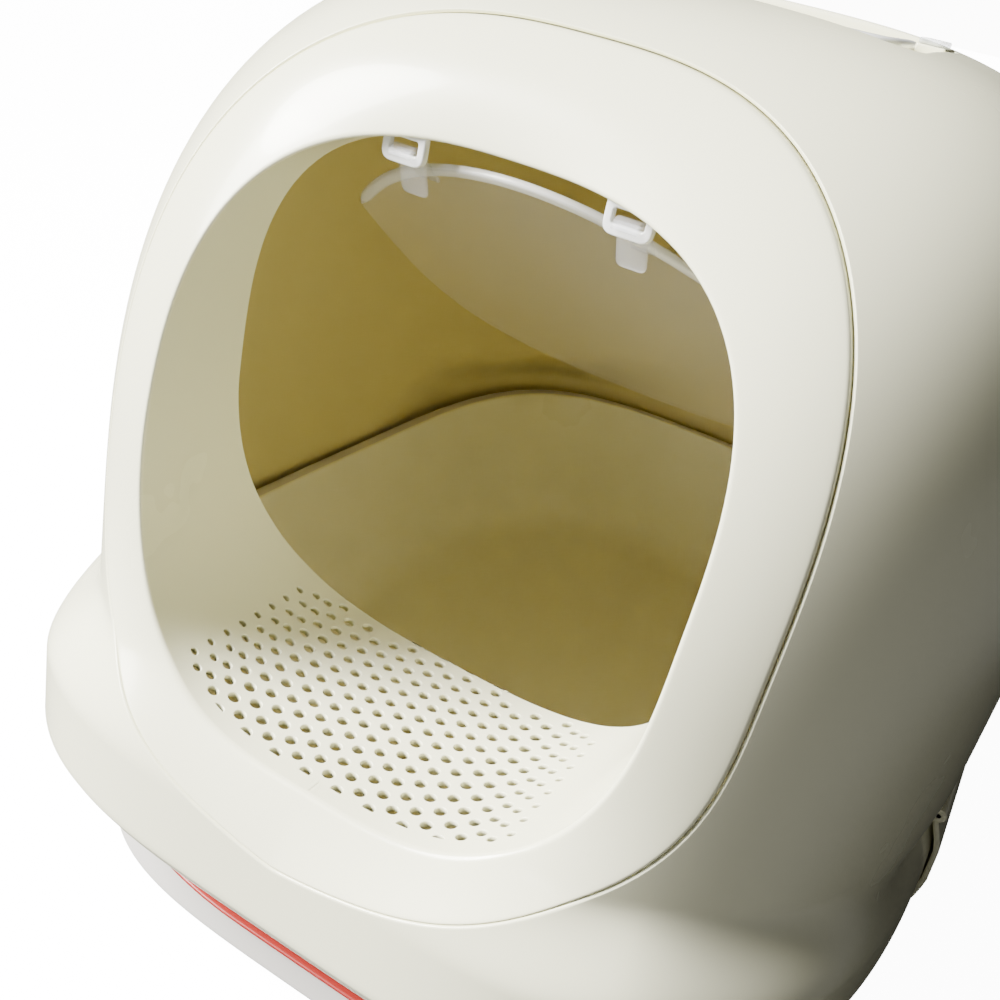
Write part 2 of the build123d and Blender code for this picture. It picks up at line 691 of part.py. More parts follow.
def make_side_latch(side):
    """Long plate that hangs from its pin, wraps the skirt and ends below the lip."""
    inside, outside = latch_chain(LATCH_GAP), latch_chain(LATCH_GAP + LATCH_WALL)
    nose_x = LIP.half_width + FLANGE_PAST_LIP + LATCH_NOSE_GAP
    inside = [(LATCH_PIVOT_X - 1, WAIST_Z)] + inside + [(nose_x, LATCH_FOOT_Z)]
    outside = [(LATCH_PIVOT_X + KNUCKLE_RADIUS, WAIST_Z)] + outside
    toe_x = nose_x + LATCH_WALL
    outside += [(toe_x, LATCH_FOOT_Z + LATCH_FOOT_HEIGHT), (toe_x + LATCH_FLARE, LATCH_FOOT_Z)]
    edge = [Vector(x, LATCH_FRONT_Y, z) for x, z in inside + outside[::-1]]
    plate = extrude(Face(Wire.make_polygon(edge, close=True)), LATCH_LENGTH, dir=(0, 1, 0))
    last = LATCH_FRONT_Y + LATCH_LENGTH
    latch = plate + bar_y(LATCH_FRONT_Y, last, LATCH_PIVOT_X, WAIST_Z, KNUCKLE_RADIUS)
    latch -= bar_y(LATCH_FRONT_Y - 1, last + 1, LATCH_PIVOT_X, WAIST_Z, LATCH_PIN_RADIUS + PIN_FIT)
    return latch if side > 0 else latch.mirror(Plane.YZ)


def make_latch_pin(side):
    """Pin from lug to lug through a latch's knuckle."""
    reach = LUG_GAP + LUG_LENGTH
    low, high = LATCH_FRONT_Y - reach, LATCH_FRONT_Y + LATCH_LENGTH + reach
    return bar_y(low, high, side * LATCH_PIVOT_X, WAIST_Z, LATCH_PIN_RADIUS)


# Tray
def tray_form(inset, levels):
    """Drafted tub through levels given as (height, tuck)."""
    wires = []
    for z, tuck in levels:
        spread = TRAY_DRAFT * z / TRAY_RIM_Z - inset - tuck
        wires.append(closed_wire([(*plan_point(TRAY_FOOT, a, -spread), z) for a in turns(PLAN_POINTS)]))
    return Solid.make_loft(wires, ruled=True)


def make_base_tray():
    """Deep tub with an outer flange that the hood's lip rests on."""
    tub = tray_form(0.0, [(0.0, 0.0), (TRAY_RIM_Z, 0.0)])
    top = LIP_Z - FLANGE_SEAT
    tub += plan_prism(LIP, FLANGE_PAST_LIP, top - FLANGE_THICKNESS, top)
    levels = []
    for k in range(TRAY_ROUND_STEPS + 1):
        a = radians(90 * k / TRAY_ROUND_STEPS)
        levels.append((TRAY_FLOOR + TRAY_FLOOR_ROUND * (1 - cos(a)), TRAY_FLOOR_ROUND * (1 - sin(a))))
    return tub - tray_form(TRAY_WALL, levels + [(TRAY_RIM_Z + TRAY_WALL, 0.0)])


def make_rim_trim():
    """Crescent band under the flange at the front, outside the tub."""
    top = LIP_Z - FLANGE_SEAT - FLANGE_THICKNESS - TRIM_SEAT
    half_width, front = TRAY_FOOT.half_width - TRIM_NARROWER, TRAY_FOOT.front + TRIM_DEPTH
    ahead = TRAY_FOOT._replace(half_width=half_width, front=front)
    spread = TRAY_DRAFT * top / TRAY_RIM_Z
    band = plan_prism(ahead, spread, top - TRIM_HEIGHT, top)
    band -= plan_prism(TRAY_FOOT, spread + TRIM_SEAT, top - FAR / 4, top + FAR / 4)
    band &= box_between(-FAR, FAR, -FAR, TRAY_FOOT.centre - TRAY_FOOT.front / 2, 0, FAR)
    return band


def export_node(name, shape):
    """Write one sub-part, with its name, as parts/NAME.step."""
    shape.label = name
    export_step(shape, f"parts/{name}.step")
    print(name, round(shape.volume))


os.makedirs("parts", exist_ok=True)
export_node("base_tray", make_base_tray())
export_node("rim_trim", make_rim_trim())
export_node("hood_shell", make_hood_shell())
export_node("entry_ring", make_entry_ring())
export_node("perforated_step", make_perforated_step())
export_node("flap", make_flap())
export_node("carry_handle", make_carry_handle())
for hand, side in (("left", -1), ("right", 1)):
    export_node(f"hinge_bracket_{hand}", make_hinge_bracket(side))
    export_node(f"handle_pin_{hand}", make_handle_pin(side))
    export_node(f"handle_cap_{hand}", make_handle_cap(side))
    export_node(f"side_latch_{hand}", make_side_latch(side))
    export_node(f"latch_pin_{hand}", make_latch_pin(side))
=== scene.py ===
from collections import namedtuple

import bmesh
import bpy
import numpy as np
from mathutils import Matrix, Vector


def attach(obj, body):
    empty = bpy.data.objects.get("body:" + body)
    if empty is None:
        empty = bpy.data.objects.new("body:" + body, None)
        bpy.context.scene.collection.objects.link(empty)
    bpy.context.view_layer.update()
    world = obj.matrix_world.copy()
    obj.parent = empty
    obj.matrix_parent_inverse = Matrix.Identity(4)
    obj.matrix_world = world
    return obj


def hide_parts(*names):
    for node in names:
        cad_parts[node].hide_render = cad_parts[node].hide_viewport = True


# A covered litter box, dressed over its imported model. Sizes in mm, +Z up, the entrance faces -Y.

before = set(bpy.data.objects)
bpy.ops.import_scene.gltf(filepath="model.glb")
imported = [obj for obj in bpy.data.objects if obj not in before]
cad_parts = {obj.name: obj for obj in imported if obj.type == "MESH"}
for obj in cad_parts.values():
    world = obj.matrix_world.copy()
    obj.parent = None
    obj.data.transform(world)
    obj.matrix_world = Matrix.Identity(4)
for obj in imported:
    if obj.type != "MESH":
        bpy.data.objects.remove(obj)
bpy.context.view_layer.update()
MM = 0.001
PlanForm = namedtuple("PlanForm", "half_width front back centre power")

# Hood form, as in the model
CROWN_Z = 465.0
CROWN_DIP = 1.4
CROWN_DIP_POWER = 40
SHOULDER_Z = 200.0
BODY = PlanForm(half_width=227.0, front=273.0, back=363.0, centre=-44.0, power=2.4)
DOME_POWERS = (3.2, 2.6, 3.0)
DOME_POWER_ROWS = 2.8
HOOD_WALL = 3.0

# Flared skirt and the lip that rolls under it
SKIRT = PlanForm(half_width=232.0, front=335.0, back=303.0, centre=16.0, power=3.8)
LIP = PlanForm(half_width=210.0, front=297.0, back=279.0, centre=16.0, power=4.0)
FLARE_TOP_Z = 168.0
FLARE_FOOT_Z = 128.0
FLARE_DROP_BESIDE = 38.0
FLARE_DROP_CORNER = 11.0
CORNER_START_X = 140.0
CORNER_FADE = 65.0
NOSE_END_Y = -215.0
SIDE_START_Y = -60.0
SIDE_END_Y = 60.0
REAR_START_Y = 170.0
BULGE_Z = 90.0
LIP_Z = 37.2
LAST_TUCK = 85.0
NOSE_TUCK_POWER = 1.12
WAIST_DEPTH = 7.0
WAIST_Z = 121.0
WAIST_HEIGHT = 22.0
NOSE_DRAW = 0.05
NOSE_LENGTH = 250.0

# Entrance
STEP_Z = 150.0
OPENING_HALF_WIDTH = 118.2
OPENING_HEIGHT = 246.0
OPENING_POWER = 2.9
OPENING_CENTRE_Z = STEP_Z + OPENING_HEIGHT / 2
RING_BAND = 29.3
RING_BAND_TOP = 43.8
RING_BAND_BOTTOM = 27.5
SEAM_POWER = 2.7
SEAM_LOW_POWERS = (1.35, 3.75)
RING_SKIN = 3.0
RING_RETURN = 14.0
SEAM_GAP = 0.3
SEAM_ROUND = 1.4
SLEEVE_WALL = 3.0
BEVEL_SIDE = 8.5
BEVEL_BOTTOM = 7.5
BEVEL_TOP = 18.5
INNER_ROUND = 2.0
FRAME_REACH = 1.0
FRAME_WALL = 0.5
EDGE_RETURNS = (9.0, 4.0)
TUNNEL_REAR_Y = -224.0
STEP_OVERHANG = 41.0
STEP_RISE = 120.0
STEP_CURVE = 1.7

# Perforated step
STEP_HALF_WIDTH = 84.0
HOLE_RADIUS = 2.6
HOLE_ROUND = 0.45
HOLE_EDGE = 0.2
HOLE_ROW_PITCH = 10.3
HOLE_COLUMN_PITCH = 8.0
HOLE_EVEN_COLUMNS = 7
HOLE_OUTER_COLUMNS = ((63.5, -296.8, 11), (69.5, -292.0, 10), (75.0, -294.8, 10), (80.7, -290.8, 9))
HOLE_OUTER_SHRINK = (0.88, 0.78, 0.68, 0.58)
HOLE_FULL_COLUMNS = 4
HOLE_FIRST_Y = -296.8
HOLE_ROWS = 11
PLATE_WALL = 3.0

# Flap and its hinge
HINGE_Y = -232.0
HINGE_Z = 385.5
CROSSBAR_RADIUS = 2.5
BRACKET_X = 46.7
BRACKET_WIDTH = 18.9
BRACKET_THICKNESS = 3.0
BRACKET_TOP_Z = 399.0
BRACKET_CORNERS = (4.6, 4.6, 0.5, 0.5)
SLOT_WIDTH = 12.5
SLOT_HEIGHT = 4.4
FLAP_OPEN = 56.0
FLAP_GAP = 7.2
PANEL_WALL = 2.0
PANEL_OFFSET = 4.5
FLAP_TOP = -1.5
FLAP_TOP_DROP = 36.0
FLAP_TOP_SPAN = 75.0
BAR_HEIGHT = 5.5
BAR_THICKNESS = 3.2
BAR_POWER = 3.5
HOOK_GAP = 0.4
HOOK_WALL = 1.6
HOOK_WIDTH = 12.0
HOOK_WRAP = 120.0
HOOK_LEAN = 29.0
HOOK_ROOT = 22.0
TONGUE_LENGTH = 19.0
TONGUE_CORNERS = (0.6, 0.6, 3.0, 3.0)

# Carry handle and its recess
RECESS_LENGTH = 190.0
RECESS_WIDTH = 100.0
RECESS_FLOOR_Z = 450.8
RECESS_CORNER = 15.0
RECESS_ROUND = 3.0
RECESS_FLOOR_ROUND = 2.4
RECESS_Y = -50.0
PIVOT_Y = -30.0
PIVOT_Z = 455.8
HANDLE_HALF_SPAN = 82.0
HANDLE_REACH = 50.0
ARM_WIDTH = 9.0
HANDLE_HEIGHT = 8.0
GRIP_WIDTH = 20.0
GRIP_BOW = 5.0
BOW_FADE = 20.0
GRIP_FADE = 14.0
HANDLE_CORNER = 15.0
HANDLE_POWER = 2.8
PIN_RADIUS = 2.5
PIN_HEAD_RADIUS = 3.8
PIN_HEAD = 1.5
PIN_BEARING = 8.5
BOSS_GAP = 0.6
BOSS_WIDTH = 26.0
BOSS_TOP_Z = 459.6
CAP_HEIGHT = 2.6
CAP_LENGTH = 11.0

# Side latches
LATCH_FRONT_Y = -64.0
LATCH_LENGTH = 120.0
LATCH_GAP = 1.5
LATCH_WALL = 3.0
LATCH_FOOT_Z = 29.0
LATCH_NOSE_GAP = 4.0
LATCH_FLARE = 4.0
KNUCKLE_RADIUS = 4.0
LATCH_PIN_RADIUS = 1.6
LUG_LENGTH = 8.0
LUG_GAP = 0.3

# Tray
TRAY_FOOT = PlanForm(half_width=202.0, front=289.0, back=270.0, centre=16.0, power=4.0)
TRAY_RIM_Z = 122.0
TRAY_DRAFT = 4.5
TRAY_FOOT_ROUND = 3.0
UNDERSIDE_DRAWS = (183.0, 83.0, 23.0)
TRAY_WALL = 3.0
TRAY_FLOOR = 4.0
TRAY_FLOOR_ROUND = 26.0
TRAY_RIM_LIP = 6.0
FLANGE_THICKNESS = 4.0
FLANGE_SEAT = 0.2
FLANGE_PAST_LIP = 2.0
FLANGE_DRAW = 1.6
TRIM_SHOWN = 2.6
TRIM_SOFT = 0.9
TRIM_END_X = 155.0
TRIM_FADE = 115.0
TRIM_DEPTH = 8.0
TRIM_NARROWER = 4.0

# Fineness of the surfaces
HALVINGS = 40
SLIDES = 12
LONGEST_SLIDE = 0.03
NUDGE = 1e-3
CUT_MARGIN = 1.5
LIP_ROWS = 12
WALL_ROWS = 33
HOOD_COLUMNS = 336
DOME_ROWS = 62
CROWN_PATCH_RISE = 0.95
CROWN_PATCH_ROWS = 16
RING_COLUMNS = 240
RING_FACE_ROWS = 12
TRAY_COLUMNS = 256
HANDLE_POINTS = 24
BAR_POINTS = 20


def superellipse(turn, power):
    """Unit superellipse in the direction turn, as two arrays: |x|^p + |y|^p = 1."""
    c, s = np.cos(turn), np.sin(turn)
    reach = (np.abs(c) ** power + np.abs(s) ** power) ** (-1 / power)
    return c * reach, s * reach


def once_round(count, first=0.0):
    """Angles of count places spaced evenly once round."""
    return np.arange(count) * 2 * np.pi / count + first


def superellipse_normal(u, v, width, height, power):
    """Outward unit normal of (u * width, v * height) on a superellipse: the gradient of |u|^p + |v|^p."""
    a = np.sign(u) * np.abs(u) ** (power - 1) / width
    b = np.sign(v) * np.abs(v) ** (power - 1) / height
    length = np.hypot(a, b)
    return a / length, b / length


def smoothstep(x):
    """Soft step from 0 to 1: 3 x^2 - 2 x^3."""
    x = np.clip(x, 0.0, 1.0)
    return x * x * (3 - 2 * x)


def unit(vectors):
    """Vectors scaled to length 1 along the last axis."""
    return vectors / np.maximum(np.linalg.norm(vectors, axis=-1, keepdims=True), 1e-12)


def points_of(*coordinates):
    """Arrays of x, y and z made one array of points, each stretched to the common shape."""
    return np.stack(np.broadcast_arrays(*coordinates), axis=-1).astype(float)


def plan_point(form, turn, inset=0.0, side=1.0, ahead=1.0, behind=1.0):
    """X and Y of a plan form, drawn in by inset and scaled sideways, ahead and behind."""
    c, s = superellipse(turn, form.power)
    reach = np.where(s < 0, (form.front - inset) * ahead, (form.back - inset) * behind)
    return (form.half_width - inset) * side * c, form.centre + reach * s


def dome_rise(z):
    """Share of the dome's rise at height z."""
    return np.clip((z - SHOULDER_Z) / (CROWN_Z - SHOULDER_Z), 0.0, 1.0)


def dome_reach(t, least=0.0):
    """Shares of the body's half width, front and back that are left at a share t of the dome's rise."""
    return (np.maximum(least, 1 - t**n) ** (1 / n) for n in DOME_POWERS)


def hood_xy(z, turn):
    """X and Y of the hood's skin at height z, at a plan angle: the body blended into the skirt."""
    body_x, body_y = plan_point(BODY, turn, 0.0, *dome_reach(dome_rise(z)))
    skirt_x, skirt_y = plan_point(SKIRT, turn)
    skirt_x = skirt_x * (1 - NOSE_DRAW * (np.maximum(0.0, BODY.centre - skirt_y) / NOSE_LENGTH) ** 2)
    lip_x, lip_y = plan_point(LIP, turn)
    drop = np.clip((BULGE_Z - z) / (BULGE_Z - LIP_Z), 0.0, 1.0)
    ahead_share = 1 - smoothstep((skirt_y - NOSE_END_Y) / (SIDE_START_Y - NOSE_END_Y))
    round_tuck = 1 - np.sqrt(1 - drop * drop)
    tuck = round_tuck + (drop**NOSE_TUCK_POWER - round_tuck) * ahead_share
    skirt_x = skirt_x + (lip_x - skirt_x) * tuck
    skirt_y = skirt_y + (lip_y - skirt_y) * tuck
    rear = smoothstep((skirt_y - NOSE_END_Y) / (SIDE_START_Y - NOSE_END_Y))
    beside = rear * (1 - smoothstep((skirt_y - SIDE_END_Y) / (REAR_START_Y - SIDE_END_Y)))
    corner = smoothstep((np.abs(skirt_x) - CORNER_START_X) / CORNER_FADE) * (1 - rear)
    flare_top = FLARE_TOP_Z - FLARE_DROP_BESIDE * beside - FLARE_DROP_CORNER * corner
    flare = smoothstep((flare_top - z) / (FLARE_TOP_Z - FLARE_FOOT_Z))
    x, y = body_x + (skirt_x - body_x) * flare, body_y + (skirt_y - body_y) * flare
    waist = WAIST_DEPTH * np.exp(-(((z - WAIST_Z) / WAIST_HEIGHT) ** 2)) * rear
    return x - waist * np.cos(turn), y - waist * np.maximum(0.0, np.sin(turn))


def hood_height(row):
    """Height for a row: from -2 round the lip, from -1 up the wall, and from 0 to 1 over the dome."""
    roll = np.radians(LAST_TUCK) * np.clip(-1 - row, 0.0, 1.0)
    low = BULGE_Z - (BULGE_Z - LIP_Z) * np.sin(roll)
    wall = BULGE_Z + (SHOULDER_Z - BULGE_Z) * np.clip(row + 1, 0.0, 1.0)
    arch = np.clip(row, 0.0, 1.0) * np.pi / 2
    rise = superellipse(arch, DOME_POWER_ROWS)[1]
    dome = SHOULDER_Z + (CROWN_Z - SHOULDER_Z) * rise
    return np.where(row < -1, low, np.where(row < 0, wall, dome))


def hood_skin(row, turn):
    """Point of the hood's outer skin. The crown dips a little, like the model's flat top."""
    z = hood_height(row)
    return points_of(*hood_xy(z, turn), z - CROWN_DIP * dome_rise(z) ** CROWN_DIP_POWER)


def halved(holds, low, high):
    """Largest values between low and high at which the test holds, found by halving."""
    for _ in range(HALVINGS):
        middle = (low + high) / 2
        inside = holds(middle)
        low, high = np.where(inside, middle, low), np.where(inside, high, middle)
    return low


def slopes(values, a, b, half):
    """Slopes of values(a, b) along a and along b, from places half a step to either side."""
    along_a = (values(a + half, b) - values(a - half, b)) / (2 * half)
    along_b = (values(a, b + half) - values(a, b - half)) / (2 * half)
    return along_a, along_b


def hood_front_y(x, z):
    """Y of the hood's front above (x, z), by halving the plan angle."""
    low, high = np.full(np.shape(x), -np.pi / 2), np.zeros(np.shape(x))
    turn = halved(lambda turn: hood_xy(z, turn)[0] < np.abs(x), low, high)
    return hood_xy(z, turn)[1]


def hood_side_x(y, z):
    """X of the hood's side beside y, by halving the plan angle."""
    quarter = np.full(np.shape(y), np.pi / 2)
    turn = halved(lambda turn: hood_xy(z, turn)[1] < y, -quarter, quarter)
    return hood_xy(z, turn)[0]


def grid_quads(rows, columns, closed=True, closed_rows=False):
    """Quads of a grid of points, joined round in its columns or in its rows where they close."""
    r = np.arange(rows if closed_rows else rows - 1)[:, None]
    c = np.arange(columns if closed else columns - 1)[None, :]
    r2, c2 = (r + 1) % rows, (c + 1) % columns
    corners = (r * columns + c, r * columns + c2, r2 * columns + c2, r2 * columns + c)
    return np.stack(corners, axis=-1).reshape(-1, 4)


def tube_faces(rows, columns):
    """Faces of a grid closed in its columns, with one more face over each end."""
    last = (rows - 1) * columns
    ends = [list(range(columns))[::-1], list(range(last, last + columns))]
    return list(grid_quads(rows, columns)) + ends


def joined(*parts):
    """Several (points, faces) joined to one, in order."""
    points, faces, first = [], [], 0
    for place, polygons in parts:
        points.append(place.reshape(-1, 3))
        faces += [[int(i) + first for i in polygon] for polygon in polygons]
        first += len(points[-1])
    return np.concatenate(points), faces


def placed(name, data):
    """New object that holds the data, linked into the scene."""
    item = bpy.data.objects.new(name, data)
    bpy.context.scene.collection.objects.link(item)
    return item


def make_piece(name, shape, body, material, nodes=(), normals=None, weld=True):
    """Mesh object in metres from (points, faces) in mm, riding on a body and standing for its nodes."""
    points, faces = shape
    mesh = bpy.data.meshes.new(name)
    mesh.from_pydata((points.reshape(-1, 3) * MM).tolist(), [], [list(map(int, f)) for f in faces])
    if weld:
        work = bmesh.new()
        work.from_mesh(mesh)
        bmesh.ops.remove_doubles(work, verts=work.verts, dist=0.02 * MM)
        bmesh.ops.recalc_face_normals(work, faces=work.faces)
        work.to_mesh(mesh)
        work.free()
    mesh.validate()
    mesh.shade_smooth()
    if normals is not None:
        mesh.normals_split_custom_set_from_vertices(normals.tolist())
    piece = placed(name, mesh)
    for one in material if isinstance(material, tuple) else (material,):
        mesh.materials.append(one)
    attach(piece, body)
    if nodes:
        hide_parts(*nodes)
    return piece


def flat_faces(piece):
    """Broad flat faces keep their own normal, and the rounds between them shade smoothly."""
    piece.modifiers.new("broad faces", "WEIGHTED_NORMAL").weight = 60


def rounded(outline, cuts, steps=5):
    """Closed outline with each corner cut back and bridged by a quadratic curve through its two ends."""
    corner = np.asarray(outline, float)
    cut = np.broadcast_to(np.asarray(cuts, float), len(corner))[:, None]
    before, after = unit(np.roll(corner, 1, 0) - corner), unit(np.roll(corner, -1, 0) - corner)
    start, end = corner + before * cut, corner + after * cut
    t = np.linspace(0, 1, steps + 1)[None, :, None]
    curve = (1 - t) ** 2 * start[:, None] + 2 * t * (1 - t) * corner[:, None] + t**2 * end[:, None]
    return curve.reshape(-1, 2)


def rectangle(a0, a1, b0, b1):
    """Corners of a rectangle, anticlockwise."""
    return [(a0, b0), (a1, b0), (a1, b1), (a0, b1)]


def inset(outline, distance):
    """Closed outline moved in along the normals of its corners. It runs anticlockwise."""
    along = unit(np.roll(outline, -1, 0) - outline)
    normal = np.stack([-along[:, 1], along[:, 0]], axis=-1)
    corner = unit(normal + np.roll(normal, 1, 0))
    stretch = np.maximum(0.5, (corner * normal).sum(-1, keepdims=True))
    return outline + corner * distance / stretch


def carried(plane, a, b, along):
    """Points from two coordinates in a plane and one along its normal."""
    if plane == "XZ":
        return points_of(a, along, b)
    if plane == "YZ":
        return points_of(along, a, b)
    return points_of(a, b, along)


def prism(outline, low, high, bevel, plane="XZ", steps=3):
    """Outline carried from low to high, its ends drawn in along a quarter circle of radius bevel."""
    outline = np.asarray(outline, float)
    swing = np.linspace(0, np.pi / 2, steps + 1)
    draw = bevel * (1 - np.sin(swing))
    rise = bevel * (1 - np.cos(swing))
    draws, places = np.concatenate([draw, draw[::-1]]), np.concatenate([low + rise, high - rise[::-1]])
    rows = np.stack([inset(outline, d) for d in draws])
    points = carried(plane, rows[..., 0], rows[..., 1], places[:, None])
    return points, tube_faces(len(draws), len(outline))


def framed_plate(outer, hole, low, high, bevel, plane="XZ"):
    """Plate with a hole: outline and hole hold as many points, and every edge is drawn in by the bevel."""
    outer, hole = np.asarray(outer, float), np.asarray(hole, float)
    soft = 0.3 * bevel
    up = [(bevel, low), (soft, low + soft), (0, low + bevel)]
    up += [(0, high - bevel), (soft, high - soft), (bevel, high)]
    flat = [inset(outer, draw) for draw, _ in up] + [inset(hole, -draw) for draw, _ in up[::-1]]
    places = np.array([place for _, place in up + up[::-1]])[:, None]
    flat = np.stack(flat)
    quads = grid_quads(len(flat), len(outer), closed_rows=True)
    return carried(plane, flat[..., 0], flat[..., 1], places), quads


def turned(profile, centre, axis, columns=28):
    """Profile of (radius, place along the axis) turned about an axis through centre, along X or Y."""
    radius, along = (np.array(values, float)[:, None] for values in zip(*profile))
    angle = once_round(columns)
    a, b = radius * np.cos(angle), radius * np.sin(angle)
    if axis == "X":
        points = points_of(along, centre[0] + a, centre[1] + b)
    else:
        points = points_of(centre[0] + a, along, centre[1] + b)
    return points, grid_quads(len(profile), columns)


def rod(low, high, radius, centre, axis, bevel=0.4):
    """Round bar with bevelled, closed ends."""
    soft = 0.3 * bevel
    profile = [(0, low), (radius - bevel, low), (radius - soft, low + soft), (radius, low + bevel)]
    profile += [(r, high + low - place) for r, place in profile[::-1]]
    return turned(profile, centre, axis)


# Materials
def set_inputs(node, values):
    """Sets a node's inputs by name."""
    for label, value in values.items():
        node.inputs[label].default_value = value
    return node


def wire(tree, *links):
    """Links in a node tree, each given as (node, output, node, input)."""
    for source, output, target, label in links:
        tree.links.new(source.outputs[output], target.inputs[label])


def new_material(name):
    """New material with its node tree and its shader."""
    material = bpy.data.materials.new(name)
    material.use_nodes = True
    return material, material.node_tree, material.node_tree.nodes["Principled BSDF"]


def moulded_group():
    """Shared surface of moulded plastic: slow tint drift, faint flow marks, gloss drift and a fine peel."""
    group = bpy.data.node_groups.new("moulded surface", "ShaderNodeTree")
    for label, way, kind in (
        ("Vector", "INPUT", "NodeSocketVector"),
        ("Tint", "INPUT", "NodeSocketColor"),
        ("Shade", "INPUT", "NodeSocketColor"),
        ("Gloss Low", "INPUT", "NodeSocketFloat"),
        ("Gloss High", "INPUT", "NodeSocketFloat"),
        ("Color", "OUTPUT", "NodeSocketColor"),
        ("Roughness", "OUTPUT", "NodeSocketFloat"),
        ("Height", "OUTPUT", "NodeSocketFloat"),
    ):
        group.interface.new_socket(label, in_out=way, socket_type=kind)
    nodes = group.nodes
    given, out = nodes.new("NodeGroupInput"), nodes.new("NodeGroupOutput")
    drift = set_inputs(nodes.new("ShaderNodeTexNoise"), {"Scale": 7.0, "Detail": 3.0})
    flow = set_inputs(nodes.new("ShaderNodeTexNoise"), {"Scale": 14.0, "Detail": 3.0})
    peel = set_inputs(nodes.new("ShaderNodeTexNoise"), {"Scale": 500.0, "Detail": 2.0})
    gloss = set_inputs(nodes.new("ShaderNodeMapRange"), {"From Min": 0.2, "From Max": 0.8})
    tint = nodes.new("ShaderNodeMix")
    tint.data_type = "RGBA"
    wire(
        group,
        *((given, "Vector", noise, "Vector") for noise in (drift, flow, peel)),
        (drift, "Fac", tint, "Factor"),
        (given, "Tint", tint, "A"),
        (given, "Shade", tint, "B"),
        (tint, "Result", out, "Color"),
        (flow, "Fac", gloss, "Value"),
        (given, "Gloss Low", gloss, "To Min"),
        (given, "Gloss High", gloss, "To Max"),
        (gloss, "Result", out, "Roughness"),
        (peel, "Fac", out, "Height"),
    )
    return group


MOULDED = moulded_group()


def plastic(name, tint, shade, gloss, bump=0.00002, coat=0.0, alpha=1.0):
    """Moulded plastic whose tint, gloss and peel come from the shared surface group."""
    material, tree, shader = new_material(name)
    place, surface = tree.nodes.new("ShaderNodeTexCoord"), tree.nodes.new("ShaderNodeGroup")
    surface.node_tree = MOULDED
    set_inputs(surface, {"Tint": (*tint, 1), "Shade": (*shade, 1)})
    set_inputs(surface, {"Gloss Low": gloss[0], "Gloss High": gloss[1]})
    raised = set_inputs(tree.nodes.new("ShaderNodeBump"), {"Strength": 0.6, "Distance": bump})
    wire(
        tree,
        (place, "Object", surface, "Vector"),
        (surface, "Color", shader, "Base Color"),
        (surface, "Roughness", shader, "Roughness"),
        (surface, "Height", raised, "Height"),
        (raised, "Normal", shader, "Normal"),
    )
    set_inputs(shader, {"IOR": 1.49, "Coat Weight": coat, "Coat Roughness": 0.06, "Alpha": alpha})
    return material


IVORY = plastic("ivory gloss", (0.90, 0.885, 0.645), (0.88, 0.865, 0.615), (0.20, 0.30), coat=0.25)
# Painted shade: the hood's inside gets a darker, yellower copy of the ivory, standing in for the shade inside
# the hood.
IVORY_PAINTED_SHADE = plastic("ivory painted shade", (0.76, 0.66, 0.30), (0.72, 0.62, 0.27), (0.38, 0.50), bump=0.00004)
TRAY_OUT = plastic("tray greige", (0.70, 0.67, 0.62), (0.66, 0.63, 0.58), (0.40, 0.52), bump=0.00005)
TRAY_IN = plastic("tray inside", (0.93, 0.89, 0.66), (0.90, 0.86, 0.62), (0.26, 0.38), bump=0.00003)
RED = plastic("red trim", (0.36, 0.022, 0.016), (0.31, 0.018, 0.013), (0.32, 0.42), bump=0.00004)
WHITE = plastic("white clip", (0.86, 0.86, 0.83), (0.83, 0.83, 0.80), (0.18, 0.28), coat=0.2)
HAZE = plastic("flap haze", (0.86, 0.84, 0.78), (0.82, 0.80, 0.74), (0.16, 0.26), bump=0.00001, alpha=0.11)
HAZE_THICK = plastic("flap clip haze", (0.84, 0.84, 0.88), (0.80, 0.80, 0.84), (0.14, 0.24), alpha=0.20)
HAZE_BAR = plastic("flap bar haze", (0.88, 0.87, 0.84), (0.85, 0.84, 0.80), (0.14, 0.24), alpha=0.62)
CLEAR = plastic("cap clear", (0.55, 0.58, 0.57), (0.50, 0.53, 0.52), (0.10, 0.18), coat=0.4, alpha=0.55)


# Hood
def seam_share(x, z, grow):
    """Sum of powers of the seam's outline grown outward, 1 on it, with its own powers below the middle."""
    low = z < OPENING_CENTRE_Z
    height = OPENING_HEIGHT / 2 + np.where(low, RING_BAND_BOTTOM, RING_BAND_TOP) + grow
    u, v = np.abs(x) / (OPENING_HALF_WIDTH + RING_BAND + grow), np.abs(z - OPENING_CENTRE_Z) / height
    power_x, power_z = (np.where(low, power, SEAM_POWER) for power in SEAM_LOW_POWERS)
    return u**power_x + v**power_z


def seam_line(grow, turn):
    """X and Z of the seam's outline grown outward, found along each turn of the opening by halving."""
    x, z = entrance_line(0.0, turn)
    rise = z - OPENING_CENTRE_Z

    def inside(scale):
        return seam_share(x * scale, OPENING_CENTRE_Z + rise * scale, grow) < 1

    scale = halved(inside, np.full(np.shape(turn), 0.5), np.full(np.shape(turn), 2.5))
    return x * scale, OPENING_CENTRE_Z + rise * scale


def entrance_level(points):
    """Distance outside the edge piece round the entrance, near its outer edge."""
    share = seam_share(points[..., 0], points[..., 2], SEAM_GAP + SEAM_ROUND + FRAME_REACH)
    return np.where(points[..., 1] < BODY.centre, (share - 1) * OPENING_HALF_WIDTH / SEAM_POWER, 1e3)


def slid_to_edge(row, turn):
    """Slides places on the skin along the slope of entrance_level until they lie on its zero line."""
    def level(row, turn):
        return entrance_level(hood_skin(row, turn))

    for _ in range(SLIDES):
        up, across = slopes(level, row, turn, NUDGE)
        step = level(row, turn) / np.maximum(up * up + across * across, 1e-4)
        row = row - np.clip(step * up, -LONGEST_SLIDE, LONGEST_SLIDE)
        turn = turn - np.clip(step * across, -LONGEST_SLIDE, LONGEST_SLIDE)
    return row, turn


